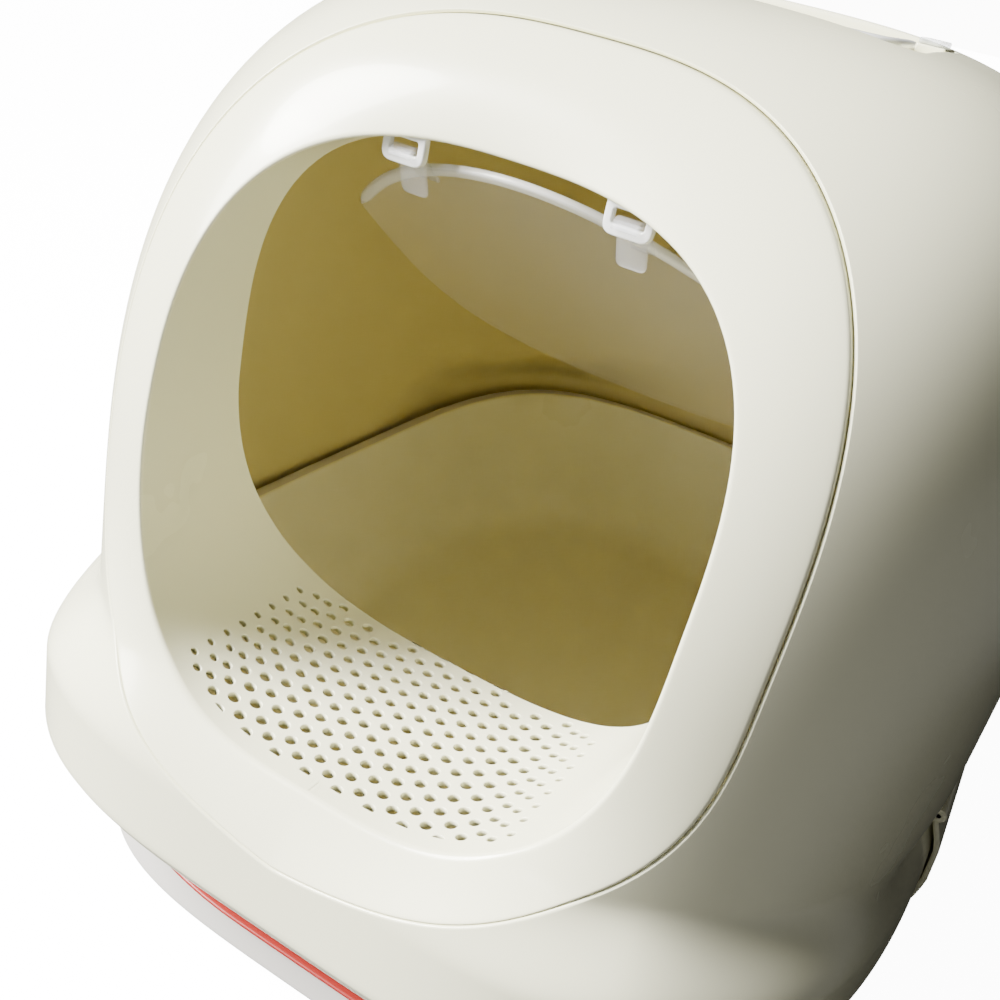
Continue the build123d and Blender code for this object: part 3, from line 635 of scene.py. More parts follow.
def skin_normals(row, turn):
    """Outward normals of the skin: the cross product of its two slopes."""
    up, across = slopes(hood_skin, row, turn, NUDGE)
    return unit(np.cross(across, up))


def front_normals(x, z):
    """Outward normals of the hood's front at (x, z), from the slopes of its depth."""
    slope_x, slope_z = slopes(hood_front_y, x, z, 0.25)
    return unit(points_of(slope_x, -1.0, slope_z))


def crown_z(x, y):
    """Height of the dome above (x, y), by halving the dome's share of its rise."""
    def covered(t):
        side, ahead, behind = dome_reach(t, 1e-9)
        reach = np.where(y < BODY.centre, BODY.front * ahead, BODY.back * behind)
        u, v = np.abs(x) / (BODY.half_width * side), np.abs(y - BODY.centre) / reach
        return u**BODY.power + v**BODY.power < 1

    t = halved(covered, np.zeros(np.shape(x)), np.ones(np.shape(x)))
    return SHOULDER_Z + (CROWN_Z - SHOULDER_Z) * t - CROWN_DIP * t**CROWN_DIP_POWER


def crown_normals(x, y):
    """Outward normals of the dome's top at (x, y), from the slopes of its height."""
    slope_x, slope_y = slopes(crown_z, x, y, 0.5)
    return unit(points_of(-slope_x, -slope_y, 1.0))


def open_edges(quads):
    """Directed edges that only one quad uses, so that a wall can be sewn to them."""
    edges = np.concatenate([quads[:, [k, (k + 1) % 4]] for k in range(4)])
    key = np.sort(edges, axis=1)
    _, first, count = np.unique(key, axis=0, return_index=True, return_counts=True)
    return edges[first[count == 1]]


def walled(points, quads, normals, wall):
    """Sheet given a wall: its inner side lies a wall's thickness in, and its open edges are closed."""
    count = len(points)
    edge = open_edges(quads)
    rim = np.stack([edge[:, 1], edge[:, 0], edge[:, 0] + count, edge[:, 1] + count], axis=-1)
    inner = quads[:, ::-1] + count
    return np.concatenate([points, points - normals * wall]), np.concatenate([quads, inner, rim])


def grid_normals(points):
    """Unit normals of a grid closed in its columns, from the differences of its neighbours."""
    along = np.gradient(points, axis=0)
    across = np.roll(points, -1, axis=1) - np.roll(points, 1, axis=1)
    return unit(np.cross(across, along))


def hood_piece(name, points, quads, normals, shown, replaced=(), wall=HOOD_WALL):
    """Skin piece of the hood with its wall: the shown normals outside, and inside a darker, yellower ivory
    that is painted shade.
    """
    points, quads, normals, shown = (a.reshape(-1, a.shape[-1]) for a in (points, quads, normals, shown))
    shape = walled(points, quads, normals, wall)
    given = np.concatenate([shown, np.zeros_like(points)])
    # The inner faces take the painted-shade ivory, darker and yellower than the outside.
    colours = (IVORY, IVORY_PAINTED_SHADE)
    piece = make_piece(name, shape, "hood", colours, replaced, given, weld=False)
    index = np.zeros(len(shape[1]), np.int32)
    index[len(quads):2 * len(quads)] = 1
    piece.data.polygons.foreach_set("material_index", index)


def make_hood():
    """Hood skin up to the crown, cut at the entrance. Gives the points that the pieces next to it share."""
    dome = np.linspace(0, 1, DOME_ROWS)
    rows = np.concatenate([
        np.linspace(-2, -1, LIP_ROWS + 1)[:-1],
        np.linspace(-1, 0, WALL_ROWS + 1)[:-1],
        dome[superellipse(dome * np.pi / 2, DOME_POWER_ROWS)[1] < CROWN_PATCH_RISE],
    ])
    turns = once_round(HOOD_COLUMNS, -np.pi / 2)
    row, turn = (a.ravel().copy() for a in np.meshgrid(rows, turns, indexing="ij"))
    quads = grid_quads(len(rows), HOOD_COLUMNS)
    keep = ~(entrance_level(hood_skin(row, turn)) < -CUT_MARGIN)[quads].any(axis=1)
    edge = np.intersect1d(quads[keep], quads[~keep])
    row[edge], turn[edge] = slid_to_edge(row[edge], turn[edge])
    crown = np.arange(len(row) - HOOD_COLUMNS, len(row))
    points, normals = hood_skin(row, turn), skin_normals(row, turn)
    used, quads = np.unique(quads[keep], return_inverse=True)
    quads, out = quads.reshape(-1, 4), normals[used]
    hood_piece("hood_skin", points[used], quads, out, out, ["hood_shell"])
    return [(points[some], normals[some]) for some in (edge, crown)]


def make_entrance_frame(edge, edge_normals):
    """Hood's own edge round the ring: a short return and a rounded corner, sewn to the sheet's points."""
    rise = (edge[:, 2] - OPENING_CENTRE_Z) / (OPENING_HEIGHT / 2)
    turn = np.arctan2(rise, edge[:, 0] / OPENING_HALF_WIDTH)
    order = np.argsort(turn)
    turn, edge, edge_normals = turn[order], edge[order], edge_normals[order]
    corner_x, corner_z = seam_line(SEAM_GAP, turn)
    x, z = seam_line(SEAM_GAP + SEAM_ROUND, turn)
    deep = hood_front_y(x, z)
    rows = [points_of(corner_x, deep + back, corner_z) for back in EDGE_RETURNS]
    start = points_of(corner_x, deep + SEAM_ROUND, corner_z)
    end = points_of(x, deep, z)
    corner = points_of(corner_x, deep, corner_z)
    rows += list(bend_rows(start, corner, end)) + [edge]
    shown = [np.zeros_like(start)] * (len(rows) - 2) + [front_normals(x, z), edge_normals]
    points = np.stack(rows)
    quads = grid_quads(len(points), len(turn))[:, ::-1]
    hood_piece("hood_front_edge", points, quads, -grid_normals(points), np.stack(shown), wall=FRAME_WALL)


def recess_line(offset, share):
    """X and Y round the recess at an offset outside its outline, share 0 to 1 once round."""
    straight_x, straight_y = RECESS_LENGTH / 2 - RECESS_CORNER, RECESS_WIDTH / 2 - RECESS_CORNER
    arc = RECESS_CORNER * np.pi / 2
    stops = np.cumsum([0] + 2 * [2 * straight_y, arc, 2 * straight_x, arc])
    place = share * stops[-1]
    angle = np.interp(place, stops, np.radians([0, 0, 90, 90, 180, 180, 270, 270, 360]))
    corner_x = np.interp(place, stops, [1, 1, 1, -1, -1, -1, -1, 1, 1]) * straight_x
    corner_y = np.interp(place, stops, [-1, 1, 1, 1, 1, -1, -1, -1, -1]) * straight_y
    reach = RECESS_CORNER + offset
    return corner_x + reach * np.cos(angle), RECESS_Y + corner_y + reach * np.sin(angle)


def make_recess(ring, ring_normals):
    """Crown from the sheet's last row inward, then the recess: rounded brim, wall, floor round and floor."""
    dense = np.linspace(0, 1, 4001)
    line = recess_line(RECESS_ROUND, dense)
    angle = np.unwrap(np.arctan2(line[1] - RECESS_Y, line[0]))
    seen = np.arctan2(ring[:, 1] - RECESS_Y, ring[:, 0])
    share = np.interp((seen - angle[0]) % (2 * np.pi), angle - angle[0], dense)
    brim_x, brim_y = recess_line(RECESS_ROUND, share)
    rows, shown = [ring], [ring_normals]
    for part in np.linspace(0, 1, CROWN_PATCH_ROWS)[1:]:
        x, y = ring[:, 0] + (brim_x - ring[:, 0]) * part, ring[:, 1] + (brim_y - ring[:, 1]) * part
        rows.append(points_of(x, y, crown_z(x, y)))
        shown.append(crown_normals(x, y))
    x, y = recess_line(0.0, share)
    top = crown_z(x, y)
    brim = bend_rows(rows[-1], points_of(x, y, top), points_of(x, y, top - RECESS_ROUND))[1:]
    foot = points_of(x, y, RECESS_FLOOR_Z + RECESS_FLOOR_ROUND)
    draws = RECESS_FLOOR_ROUND + np.array([0.0, 2.0, 6.0])
    floor = [points_of(*recess_line(-draw, share), RECESS_FLOOR_Z) for draw in draws]
    fillet = bend_rows(foot, points_of(x, y, RECESS_FLOOR_Z), floor[0], 5)
    centre = np.array([0, RECESS_Y, RECESS_FLOOR_Z])
    floor += [centre + (floor[-1] - centre) * s for s in (0.6, 0.2, 0.0)]
    points = np.concatenate([np.stack(rows), brim, fillet, np.stack(floor[1:])])
    given = np.zeros_like(points)
    given[:len(shown)] = np.stack(shown)
    normals = grid_normals(points)
    normals[-2:] = (0, 0, 1)
    hood_piece("hood_recess", points, grid_quads(len(points), len(share)), normals, given)


def make_pivot_boss(side, hand):
    """Block at the recess's end that carries the handle's pin."""
    x0, x1 = sorted((side * (HANDLE_HALF_SPAN + BOSS_GAP), side * (RECESS_LENGTH / 2 + 1)))
    outline = rounded(rectangle(x0, x1, PIVOT_Y - BOSS_WIDTH / 2, PIVOT_Y + BOSS_WIDTH / 2), 1.5)
    block = prism(outline, RECESS_FLOOR_Z - 1, BOSS_TOP_Z, 0.8, "XY")
    flat_faces(make_piece(f"pivot_boss_{hand}", block, "hood", IVORY))


LATCH_PIVOT_X = float(hood_xy(np.array(WAIST_Z), np.array(0.0))[0]) + LATCH_GAP + KNUCKLE_RADIUS


def make_latch_lugs(side, hand):
    """Two eyes on short webs that stand out of the hood's waist."""
    front_y, rear_y = LATCH_FRONT_Y - LUG_GAP - LUG_LENGTH, LATCH_FRONT_Y + LATCH_LENGTH + LUG_GAP
    swing = np.linspace(-np.pi / 2, np.pi / 2, 13)
    nose = (LATCH_PIVOT_X, WAIST_Z) + KNUCKLE_RADIUS * np.stack([np.cos(swing), np.sin(swing)], -1)
    for end, y0 in (("front", front_y), ("rear", rear_y)):
        wall_x = hood_side_x(np.array([y0, y0 + LUG_LENGTH]), WAIST_Z).min() - HOOD_WALL / 2
        outline = np.concatenate([[(wall_x, nose[0, 1])], nose, [(wall_x, nose[-1, 1])]])
        if side < 0:
            outline = (outline * [-1, 1])[::-1]
        lug = prism(outline, y0, y0 + LUG_LENGTH, 0.6)
        flat_faces(make_piece(f"latch_lug_{hand}_{end}", lug, "hood", IVORY))


# Entrance ring, tunnel and step
def ring_face_y(x, z, share=0.0):
    """Y of the ring's face: the hood's skin set back, most at the opening (share 0), not at the seam (1)."""
    u, v = x / OPENING_HALF_WIDTH, (z - OPENING_CENTRE_Z) / (OPENING_HEIGHT / 2)
    rise = v * v / (u * u + v * v + 1e-9)
    deeper = np.where(v > 0, BEVEL_TOP * rise**2, BEVEL_BOTTOM * rise)
    return hood_front_y(x, z) + (BEVEL_SIDE + deeper) * (1 - share)


def tunnel_rear_y(z):
    """Y of the tunnel's rear edge: the step reaches further back than the sides."""
    share = np.clip(1 - (z - STEP_Z) / STEP_RISE, 0.0, None)
    return TUNNEL_REAR_Y + STEP_OVERHANG * share**STEP_CURVE


def floor_turn():
    """Half the angle that the step takes up at the bottom of the opening."""
    u = STEP_HALF_WIDTH / OPENING_HALF_WIDTH
    v = (1 - u**OPENING_POWER) ** (1 / OPENING_POWER)
    return np.arctan2(u, v)


def entrance_line(grow, turn):
    """X and Z of the opening's outline grown outward."""
    u, v = superellipse(turn, OPENING_POWER)
    return (OPENING_HALF_WIDTH + grow) * u, OPENING_CENTRE_Z + (OPENING_HEIGHT / 2 + grow) * v


def bend_rows(a, corner, b, steps=6):
    """Rows of points along quadratic curves from a row to b that are drawn towards the corner row."""
    t = np.linspace(0, 1, steps + 1)[:, None, None]
    return (1 - t) ** 2 * a + 2 * t * (1 - t) * corner + t**2 * b


def ring_row(turn, share, past_face=0.0, past_edge=0.0, short_of_seam=0.0):
    """Row of points round the ring, a share of the way from past the opening's edge to short of the seam."""
    ax, az = entrance_line(past_edge, turn)
    bx, bz = seam_line(-short_of_seam, turn)
    x, z = ax + (bx - ax) * share, az + (bz - az) * share
    (ox, oz), (sx, sz) = entrance_line(0.0, turn), seam_line(0.0, turn)
    across = np.clip(np.hypot(x - ox, z - oz) / np.hypot(sx - ox, sz - oz), 0.0, 1.0)
    return points_of(x, ring_face_y(x, z, across) + past_face, z)


def opening_normal(u, v):
    """Outward unit normal of the opening's outline at (u, v) of its unit superellipse."""
    return superellipse_normal(u, v, OPENING_HALF_WIDTH, OPENING_HEIGHT / 2, OPENING_POWER)


def make_ring():
    """Ring and tunnel: rounded seam edge, bevelled face, rounded mouth, tunnel wall, rear edge and back."""
    half = floor_turn()
    floor_columns = RING_COLUMNS * 5 // 24 * 2
    low = np.linspace(-np.pi / 2 - half, -np.pi / 2 + half, floor_columns + 1)
    rest = np.linspace(-np.pi / 2 + half, 1.5 * np.pi - half, RING_COLUMNS - floor_columns + 1)
    turn = np.concatenate([low[:-1], rest[:-1]])
    x, z = entrance_line(0.0, turn)
    rear_y = tunnel_rear_y(z)

    def wall_row(grow, y):
        wx, wz = entrance_line(grow, turn)
        return points_of(wx, y, wz)

    at_seam = ring_row(turn, 1.0, short_of_seam=SEAM_ROUND)
    edge = bend_rows(ring_row(turn, 1.0, SEAM_ROUND), ring_row(turn, 1.0), at_seam)
    face = np.stack([
        ring_row(turn, share, past_edge=INNER_ROUND, short_of_seam=SEAM_ROUND)
        for share in np.linspace(1, 0, RING_FACE_ROWS + 2)[1:-1]
    ])
    mouth_y = ring_face_y(x, z)
    start = mouth_y + INNER_ROUND
    at_mouth = ring_row(turn, 0.0, past_edge=INNER_ROUND)
    mouth = bend_rows(at_mouth, wall_row(0.0, mouth_y), wall_row(0.0, start), 8)
    tunnel = np.stack([wall_row(0.0, start + (rear_y - 1 - start) * s) for s in np.linspace(0.06, 1, 14)])
    lip = bend_rows(wall_row(0.0, rear_y - 1), wall_row(0.0, rear_y), wall_row(1.2, rear_y), 4)[1:]
    back = np.stack([
        wall_row(SLEEVE_WALL - 0.5, rear_y),
        wall_row(SLEEVE_WALL, rear_y - 0.5),
        wall_row(SLEEVE_WALL, start + 8),
        ring_row(turn, 0.0, RING_SKIN, past_edge=SLEEVE_WALL),
        ring_row(turn, 0.5, RING_SKIN),
        ring_row(turn, 1.0, RING_SKIN, short_of_seam=RING_SKIN),
        ring_row(turn, 1.0, RING_RETURN, short_of_seam=RING_SKIN),
        ring_row(turn, 1.0, RING_RETURN),
    ])
    points = np.concatenate([edge, face, mouth, tunnel, lip, back])
    rows, columns = points.shape[:2]
    quads = grid_quads(rows, columns, closed_rows=True)
    first_tunnel = len(edge) + len(face) + len(mouth)
    last_sleeve = first_tunnel + len(tunnel) + len(lip) + 2
    quad_row, quad_column = np.divmod(np.arange(rows * columns), columns)
    open_floor = (quad_row >= first_tunnel) & (quad_row <= last_sleeve) & (quad_column < floor_columns)
    nx, nz = opening_normal(*superellipse(turn, OPENING_POWER))
    normals = np.zeros_like(points)
    normals[first_tunnel - 1:first_tunnel + len(tunnel)] = points_of(-nx, 0 * nx, -nz)
    shape, normals = (points, quads[~open_floor]), normals.reshape(-1, 3)
    make_piece("entrance_ring", shape, "hood", IVORY, ["entry_ring"], normals, weld=False)


def floor_z(x):
    """Height of the tunnel's floor at x: the lower half of the opening's superellipse."""
    share = np.clip(np.abs(x) / OPENING_HALF_WIDTH, 0.0, 1.0)
    return OPENING_CENTRE_Z - OPENING_HEIGHT / 2 * (1 - share**OPENING_POWER) ** (1 / OPENING_POWER)


def floor_normal(x):
    """Upward unit normal of the tunnel's floor at x, as its X and Z."""
    u = x / OPENING_HALF_WIDTH
    v = -((1 - np.abs(u) ** OPENING_POWER) ** (1 / OPENING_POWER))
    nx, nz = opening_normal(u, v)
    return -nx, -nz


def on_floor(x, y, depth):
    """Points of the step at plan places, a depth below its top surface."""
    nx, nz = floor_normal(x)
    return points_of(x - nx * depth, y, floor_z(x) - nz * depth)


def make_step():
    """Perforated step: a cell round every hole, then plain strips ahead of and behind the columns."""
    even = np.arange(HOLE_EVEN_COLUMNS + 1)
    odd = even % 2
    inner_y = HOLE_FIRST_Y + odd * HOLE_ROW_PITCH / 2
    inner_counts = HOLE_ROWS - np.where(even > HOLE_FULL_COLUMNS, odd, 0)
    right = [*zip(even * HOLE_COLUMN_PITCH, inner_y, inner_counts), *HOLE_OUTER_COLUMNS]
    centres, first_y, counts = np.array([(-x, y, n) for x, y, n in right[:0:-1]] + right).T
    front = ring_face_y(centres, floor_z(centres)) + INNER_ROUND
    shrink = np.ones(len(centres))
    shrink[-len(HOLE_OUTER_SHRINK):] = HOLE_OUTER_SHRINK
    shrink = np.minimum(shrink, shrink[::-1])
    broken = first_y - HOLE_RADIUS * shrink - HOLE_ROUND - HOLE_EDGE < front
    first_y, counts = first_y + HOLE_ROW_PITCH * broken, (counts - broken).astype(int)
    borders = np.concatenate([[-STEP_HALF_WIDTH], (centres[1:] + centres[:-1]) / 2, [STEP_HALF_WIDTH]])

    column = np.repeat(np.arange(len(centres)), counts)
    rank = np.concatenate([np.arange(n) for n in counts])
    hole_y = first_y[column] + rank * HOLE_ROW_PITCH
    side, ones = np.array([-1, -0.5, 0, 0.5]), np.ones(4)
    sides = ((side, -ones), (ones, side), (-side, ones), (-ones, -side))
    square = np.concatenate([np.stack(pair, -1) for pair in sides])
    angle = np.arctan2(square[:, 1], square[:, 0])
    cx, cy = centres[column][:, None], hole_y[:, None]
    reach_left, reach_right = cx - borders[column][:, None], borders[column + 1][:, None] - cx
    edge_x = cx + np.where(square[:, 0] < 0, reach_left, reach_right) * square[:, 0]
    front_limit = ring_face_y(edge_x, floor_z(edge_x)) + INNER_ROUND
    edge_y = cy + square[:, 1] * HOLE_ROW_PITCH / 2
    edge_y = np.where(square[:, 1] < 0, np.maximum(edge_y, front_limit), edge_y)

    bore = HOLE_RADIUS * shrink[column][:, None]

    def ring(past, depth):
        return on_floor(cx + (bore + past) * np.cos(angle), cy + (bore + past) * np.sin(angle), depth)

    stack = np.stack([
        on_floor(edge_x, edge_y, 0.0),
        ring(HOLE_ROUND, 0.0), ring(0.3 * HOLE_ROUND, 0.3 * HOLE_ROUND), ring(0.0, HOLE_ROUND),
        ring(0.0, PLATE_WALL),
        on_floor(edge_x, edge_y, PLATE_WALL),
    ], axis=1)
    holes, rows, around = stack.shape[:3]
    cells = grid_quads(rows, around) + np.arange(holes)[:, None, None] * rows * around
    parts = [(stack, cells.reshape(-1, 4))]

    share = np.array([0, 0.25, 0.5, 0.75, 1.0])
    middle = centres[:, None]
    strip_x = np.where(
        share < 0.5, borders[:-1, None] + (middle - borders[:-1, None]) * share * 2,
        middle + (borders[1:, None] - middle) * (share * 2 - 1),
    )
    start = first_y - HOLE_ROW_PITCH / 2
    end = start + counts * HOLE_ROW_PITCH
    front_y = ring_face_y(strip_x, floor_z(strip_x)) + INNER_ROUND
    rear_y = tunnel_rear_y(floor_z(strip_x))
    steps = np.linspace(0, 1, 6)[:, None]
    for i in range(len(centres)):
        x = strip_x[i][None, :]
        lead = front_y[i] + np.maximum(0.0, start[i] - front_y[i]) * steps
        tail = end[i] + (rear_y[i] - 1 - end[i]) * steps
        lip = np.stack([rear_y[i] - 0.3, rear_y[i], rear_y[i], rear_y[i] - 0.5])
        depth = np.array([0.3, 1.0, PLATE_WALL - 0.5, PLATE_WALL])[:, None]
        under = on_floor(x, tail[:1], PLATE_WALL)
        top = np.concatenate([on_floor(x, tail, 0.0), on_floor(x, lip, depth), under])
        lead_quads = grid_quads(len(lead), len(share), closed=False)
        parts.append((on_floor(x, lead, 0.0), lead_quads))
        parts.append((on_floor(x, lead, PLATE_WALL), lead_quads[:, ::-1]))
        parts.append((top, grid_quads(len(top), len(share), closed=False)))
    shape = joined(*parts)
    x, _, z = shape[0].T
    nx, nz = floor_normal(x)
    on_top = np.abs(z - floor_z(x)) < 0.01
    normals = points_of(nx, 0 * nx, nz) * on_top[:, None]
    nodes = ["perforated_step"]
    make_piece("perforated_step", shape, "hood", IVORY, nodes, normals, weld=False)


# Flap, drawn shut about the hinge axis and then swung open
def swung(shape):
    """The shape turned about the hinge to the pose that the flap rests in."""
    points, faces = shape
    c, s = np.cos(np.radians(FLAP_OPEN)), np.sin(np.radians(FLAP_OPEN))
    x, y, z = points.reshape(-1, 3).T
    return points_of(x, HINGE_Y + y * c - z * s, HINGE_Z + y * s + z * c), faces


def arch_z(x):
    """Height of the flap's arched top above the hinge axis."""
    return FLAP_TOP - FLAP_TOP_DROP * (x / FLAP_TOP_SPAN) ** 2


def flap_half_width(z):
    """Half the flap's width at a height above the hinge axis."""
    v = np.clip(np.abs(z + HINGE_Z - OPENING_CENTRE_Z) / (OPENING_HEIGHT / 2 - FLAP_GAP), 0.0, 1.0)
    return (OPENING_HALF_WIDTH - FLAP_GAP) * (1 - v**OPENING_POWER) ** (1 / OPENING_POWER)


def flap_corner():
    """X at which the arched top meets the flap's side."""
    return float(halved(lambda x: flap_half_width(arch_z(x)) > x, 0.0, OPENING_HALF_WIDTH))


def make_flap():
    """Clear panel under an arched top, with a thick bar along the top and a tongue over each crossbar."""
    corner = flap_corner()
    bottom = OPENING_CENTRE_Z - HINGE_Z - OPENING_HEIGHT / 2 + FLAP_GAP
    angle = np.linspace(-np.pi, 0, 61)
    u, v = superellipse(angle, OPENING_POWER)
    middle = OPENING_CENTRE_Z - HINGE_Z
    lower = np.stack([(OPENING_HALF_WIDTH - FLAP_GAP) * u, middle + (middle - bottom) * v], -1)
    side_z = np.linspace(middle, arch_z(corner), 14)[1:]
    right = np.stack([flap_half_width(side_z), side_z], -1)
    top_x = np.linspace(corner, -corner, 41)[1:-1]
    top = np.stack([top_x, arch_z(top_x)], -1)
    outline = np.concatenate([lower, right, top, (right * [-1, 1])[::-1]])
    panel = prism(outline, PANEL_OFFSET - PANEL_WALL / 2, PANEL_OFFSET + PANEL_WALL / 2, 0.7)
    flat_faces(make_piece("flap_panel", swung(panel), "flap", HAZE, ["flap"]))

    x = np.linspace(-corner + 1, corner - 1, 61)
    mid_z = arch_z(x) - BAR_HEIGHT / 2
    slope = np.gradient(mid_z, x)
    a, b = superellipse(once_round(BAR_POINTS), BAR_POWER)
    taper = np.clip((corner - np.abs(x)) / 6, 0.15, 1.0)
    length = np.hypot(1, slope)
    bar_x = x[:, None] - (slope / length)[:, None] * b * BAR_HEIGHT / 2 * taper[:, None]
    bar_z = mid_z[:, None] + (1 / length)[:, None] * b * BAR_HEIGHT / 2 * taper[:, None]
    bar_y = PANEL_OFFSET - PANEL_WALL / 2 + BAR_THICKNESS / 2 + a * (BAR_THICKNESS / 2 + 0.1)
    bar = (points_of(bar_x, bar_y, bar_z), tube_faces(len(x), BAR_POINTS))
    make_piece("flap_bar", swung(bar), "flap", HAZE_BAR)

    inner = CROSSBAR_RADIUS + HOOK_GAP
    outer = inner + HOOK_WALL
    swing = np.radians(np.linspace(0, HOOK_WRAP, 15))
    hook_in, hook_out = (np.stack([np.cos(swing), np.sin(swing)], -1) * radius for radius in (inner, outer))
    hook = np.concatenate([[(inner, -HOOK_ROOT)], hook_in, hook_out[::-1], [(outer, -HOOK_ROOT)]])[::-1]
    lean = np.radians(HOOK_LEAN)
    along, across = np.array([-np.sin(lean), -np.cos(lean)]), np.array([np.cos(lean), -np.sin(lean)])
    root = across * (inner + 0.4)
    for side, hand in ((-1, "left"), (1, "right")):
        centre = side * BRACKET_X
        low, high = centre - HOOK_WIDTH / 2, centre + HOOK_WIDTH / 2
        clip = prism(hook, low + 1, high - 1, 0.4, "YZ")
        outline = rounded(rectangle(low, high, 0.0, TONGUE_LENGTH), TONGUE_CORNERS, 6)
        points, faces = prism(outline, 0.0, HOOK_WALL, 0.5, "XY")
        x, run, thick = points.reshape(-1, 3).T
        place = root + along * run[:, None] + across * thick[:, None]
        tongue = (points_of(x, *place.T), faces)
        for name, shape in (("hook", clip), ("tongue", tongue)):
            piece = make_piece(f"flap_{name}_{hand}", swung(shape), "flap", HAZE_THICK)
            flat_faces(piece)


def make_bracket(side, hand):
    """Clip-in plate: rounded lower corners, a slot, and the round crossbar below it."""
    centre = side * BRACKET_X
    half = BRACKET_WIDTH / 2
    low = HINGE_Z - CROSSBAR_RADIUS
    slot_low, slot_high = HINGE_Z + 0.6 * CROSSBAR_RADIUS, HINGE_Z + CROSSBAR_RADIUS + SLOT_HEIGHT
    outer = rounded(rectangle(centre - half, centre + half, low, BRACKET_TOP_Z), BRACKET_CORNERS, 6)
    hole = rounded(rectangle(centre - SLOT_WIDTH / 2, centre + SLOT_WIDTH / 2, slot_low, slot_high), 1.2, 6)
    depth = BRACKET_THICKNESS / 2 + 0.6
    plate = framed_plate(outer, hole, HINGE_Y - depth, HINGE_Y + BRACKET_THICKNESS / 2, 0.7)
    nodes = [f"hinge_bracket_{hand}"]
    flat_faces(make_piece(f"bracket_{hand}", plate, "hood", WHITE, nodes))


# Carry handle
def make_handle():
    """Bail swept along a U with a bowed grip: a rounded section that widens into the grip."""
    middle = HANDLE_HALF_SPAN - ARM_WIDTH / 2
    grip_y = PIVOT_Y - HANDLE_REACH
    eye = HANDLE_HEIGHT / 2
    end_y = PIVOT_Y + eye
    path = np.array([(middle, end_y), (middle, grip_y), (-middle, grip_y), (-middle, end_y)])
    bends = []
    for before, here, after in zip(path[:-2], path[1:-1], path[2:]):
        a, b = here + unit(before - here) * HANDLE_CORNER, here + unit(after - here) * HANDLE_CORNER
        bends.append(bend_rows(a, here, b, 12)[:, 0])
    arm = np.linspace(path[0], bends[0][0], 12)
    grip = np.linspace(bends[0][-1], bends[1][0], 34)[1:-1]
    line = np.concatenate([arm[:-1], bends[0], grip, bends[1], arm[::-1][1:] * [-1, 1]])
    bow = np.clip(1 - (line[:, 0] / middle) ** 2, 0, 1) * smoothstep((PIVOT_Y - line[:, 1]) / BOW_FADE)
    line[:, 1] -= GRIP_BOW * bow
    along = unit(np.gradient(line, axis=0))
    across = np.stack([along[:, 1], -along[:, 0]], -1)
    in_grip = smoothstep((middle - np.abs(line[:, 0])) / GRIP_FADE)
    half = (ARM_WIDTH + (GRIP_WIDTH - ARM_WIDTH) * in_grip) / 2
    to_end = np.minimum(*(np.linalg.norm(line - end, axis=1) for end in (line[0], line[-1]))) / eye
    round_end = np.sqrt(np.clip(1 - (1 - np.clip(to_end, 0, 1)) ** 2, 0.0, 1))
    a, b = superellipse(once_round(HANDLE_POINTS), HANDLE_POWER)
    x = line[:, :1] + across[:, :1] * half[:, None] * a
    y = line[:, 1:] + across[:, 1:] * half[:, None] * a
    z = PIVOT_Z + b * eye * np.maximum(round_end, 0.02)[:, None]
    shape = (points_of(x, y, z), tube_faces(len(line), HANDLE_POINTS))
    make_piece("carry_bail", shape, "handle", WHITE, ["carry_handle"])


def make_handle_hardware(side, hand):
    """Headed pin through the arm, and the clear cap over the boss."""
    inner = side * (HANDLE_HALF_SPAN - ARM_WIDTH - 0.3)
    head = inner - side * PIN_HEAD
    tip = side * (HANDLE_HALF_SPAN + BOSS_GAP + PIN_BEARING)
    profile = [(0, head), (PIN_HEAD_RADIUS - 1, head), (PIN_HEAD_RADIUS - 0.2, head + side * 0.5)]
    profile += [(PIN_HEAD_RADIUS, inner - side * 0.2), (PIN_RADIUS, inner), (PIN_RADIUS, tip), (0, tip)]
    pin = turned(profile, (PIVOT_Y, PIVOT_Z), "X")
    make_piece(f"pin_{hand}", pin, "hood", WHITE, [f"handle_pin_{hand}"])
    x0 = HANDLE_HALF_SPAN + BOSS_GAP + 0.4
    a, b = sorted((side * x0, side * (x0 + CAP_LENGTH)))
    outline = rounded(rectangle(a, b, PIVOT_Y - BOSS_WIDTH / 2 + 1, PIVOT_Y + BOSS_WIDTH / 2 - 1), 2.5, 6)
    cap = prism(outline, BOSS_TOP_Z + 0.1, BOSS_TOP_Z + 0.1 + CAP_HEIGHT, 0.8, "XY")
    flat_faces(make_piece(f"cap_{hand}", cap, "hood", CLEAR, [f"handle_cap_{hand}"]))


# Side latches
def latch_line(offset):
    """X and Z of the skirt's side from the knuckle to the lip, moved out along its normal."""
    fall = np.linspace(9, 27, 7)
    roll = np.radians(np.linspace(15, 68, 9))
    z = np.concatenate([WAIST_Z - fall, BULGE_Z - (BULGE_Z - LIP_Z) * np.sin(roll)])
    x, above, below = (hood_xy(z + shift, np.zeros_like(z))[0] for shift in (0.0, 0.5, -0.5))
    slope = above - below
    length = np.hypot(slope, 1.0)
    return np.stack([x + offset / length, z - offset * slope / length], -1)


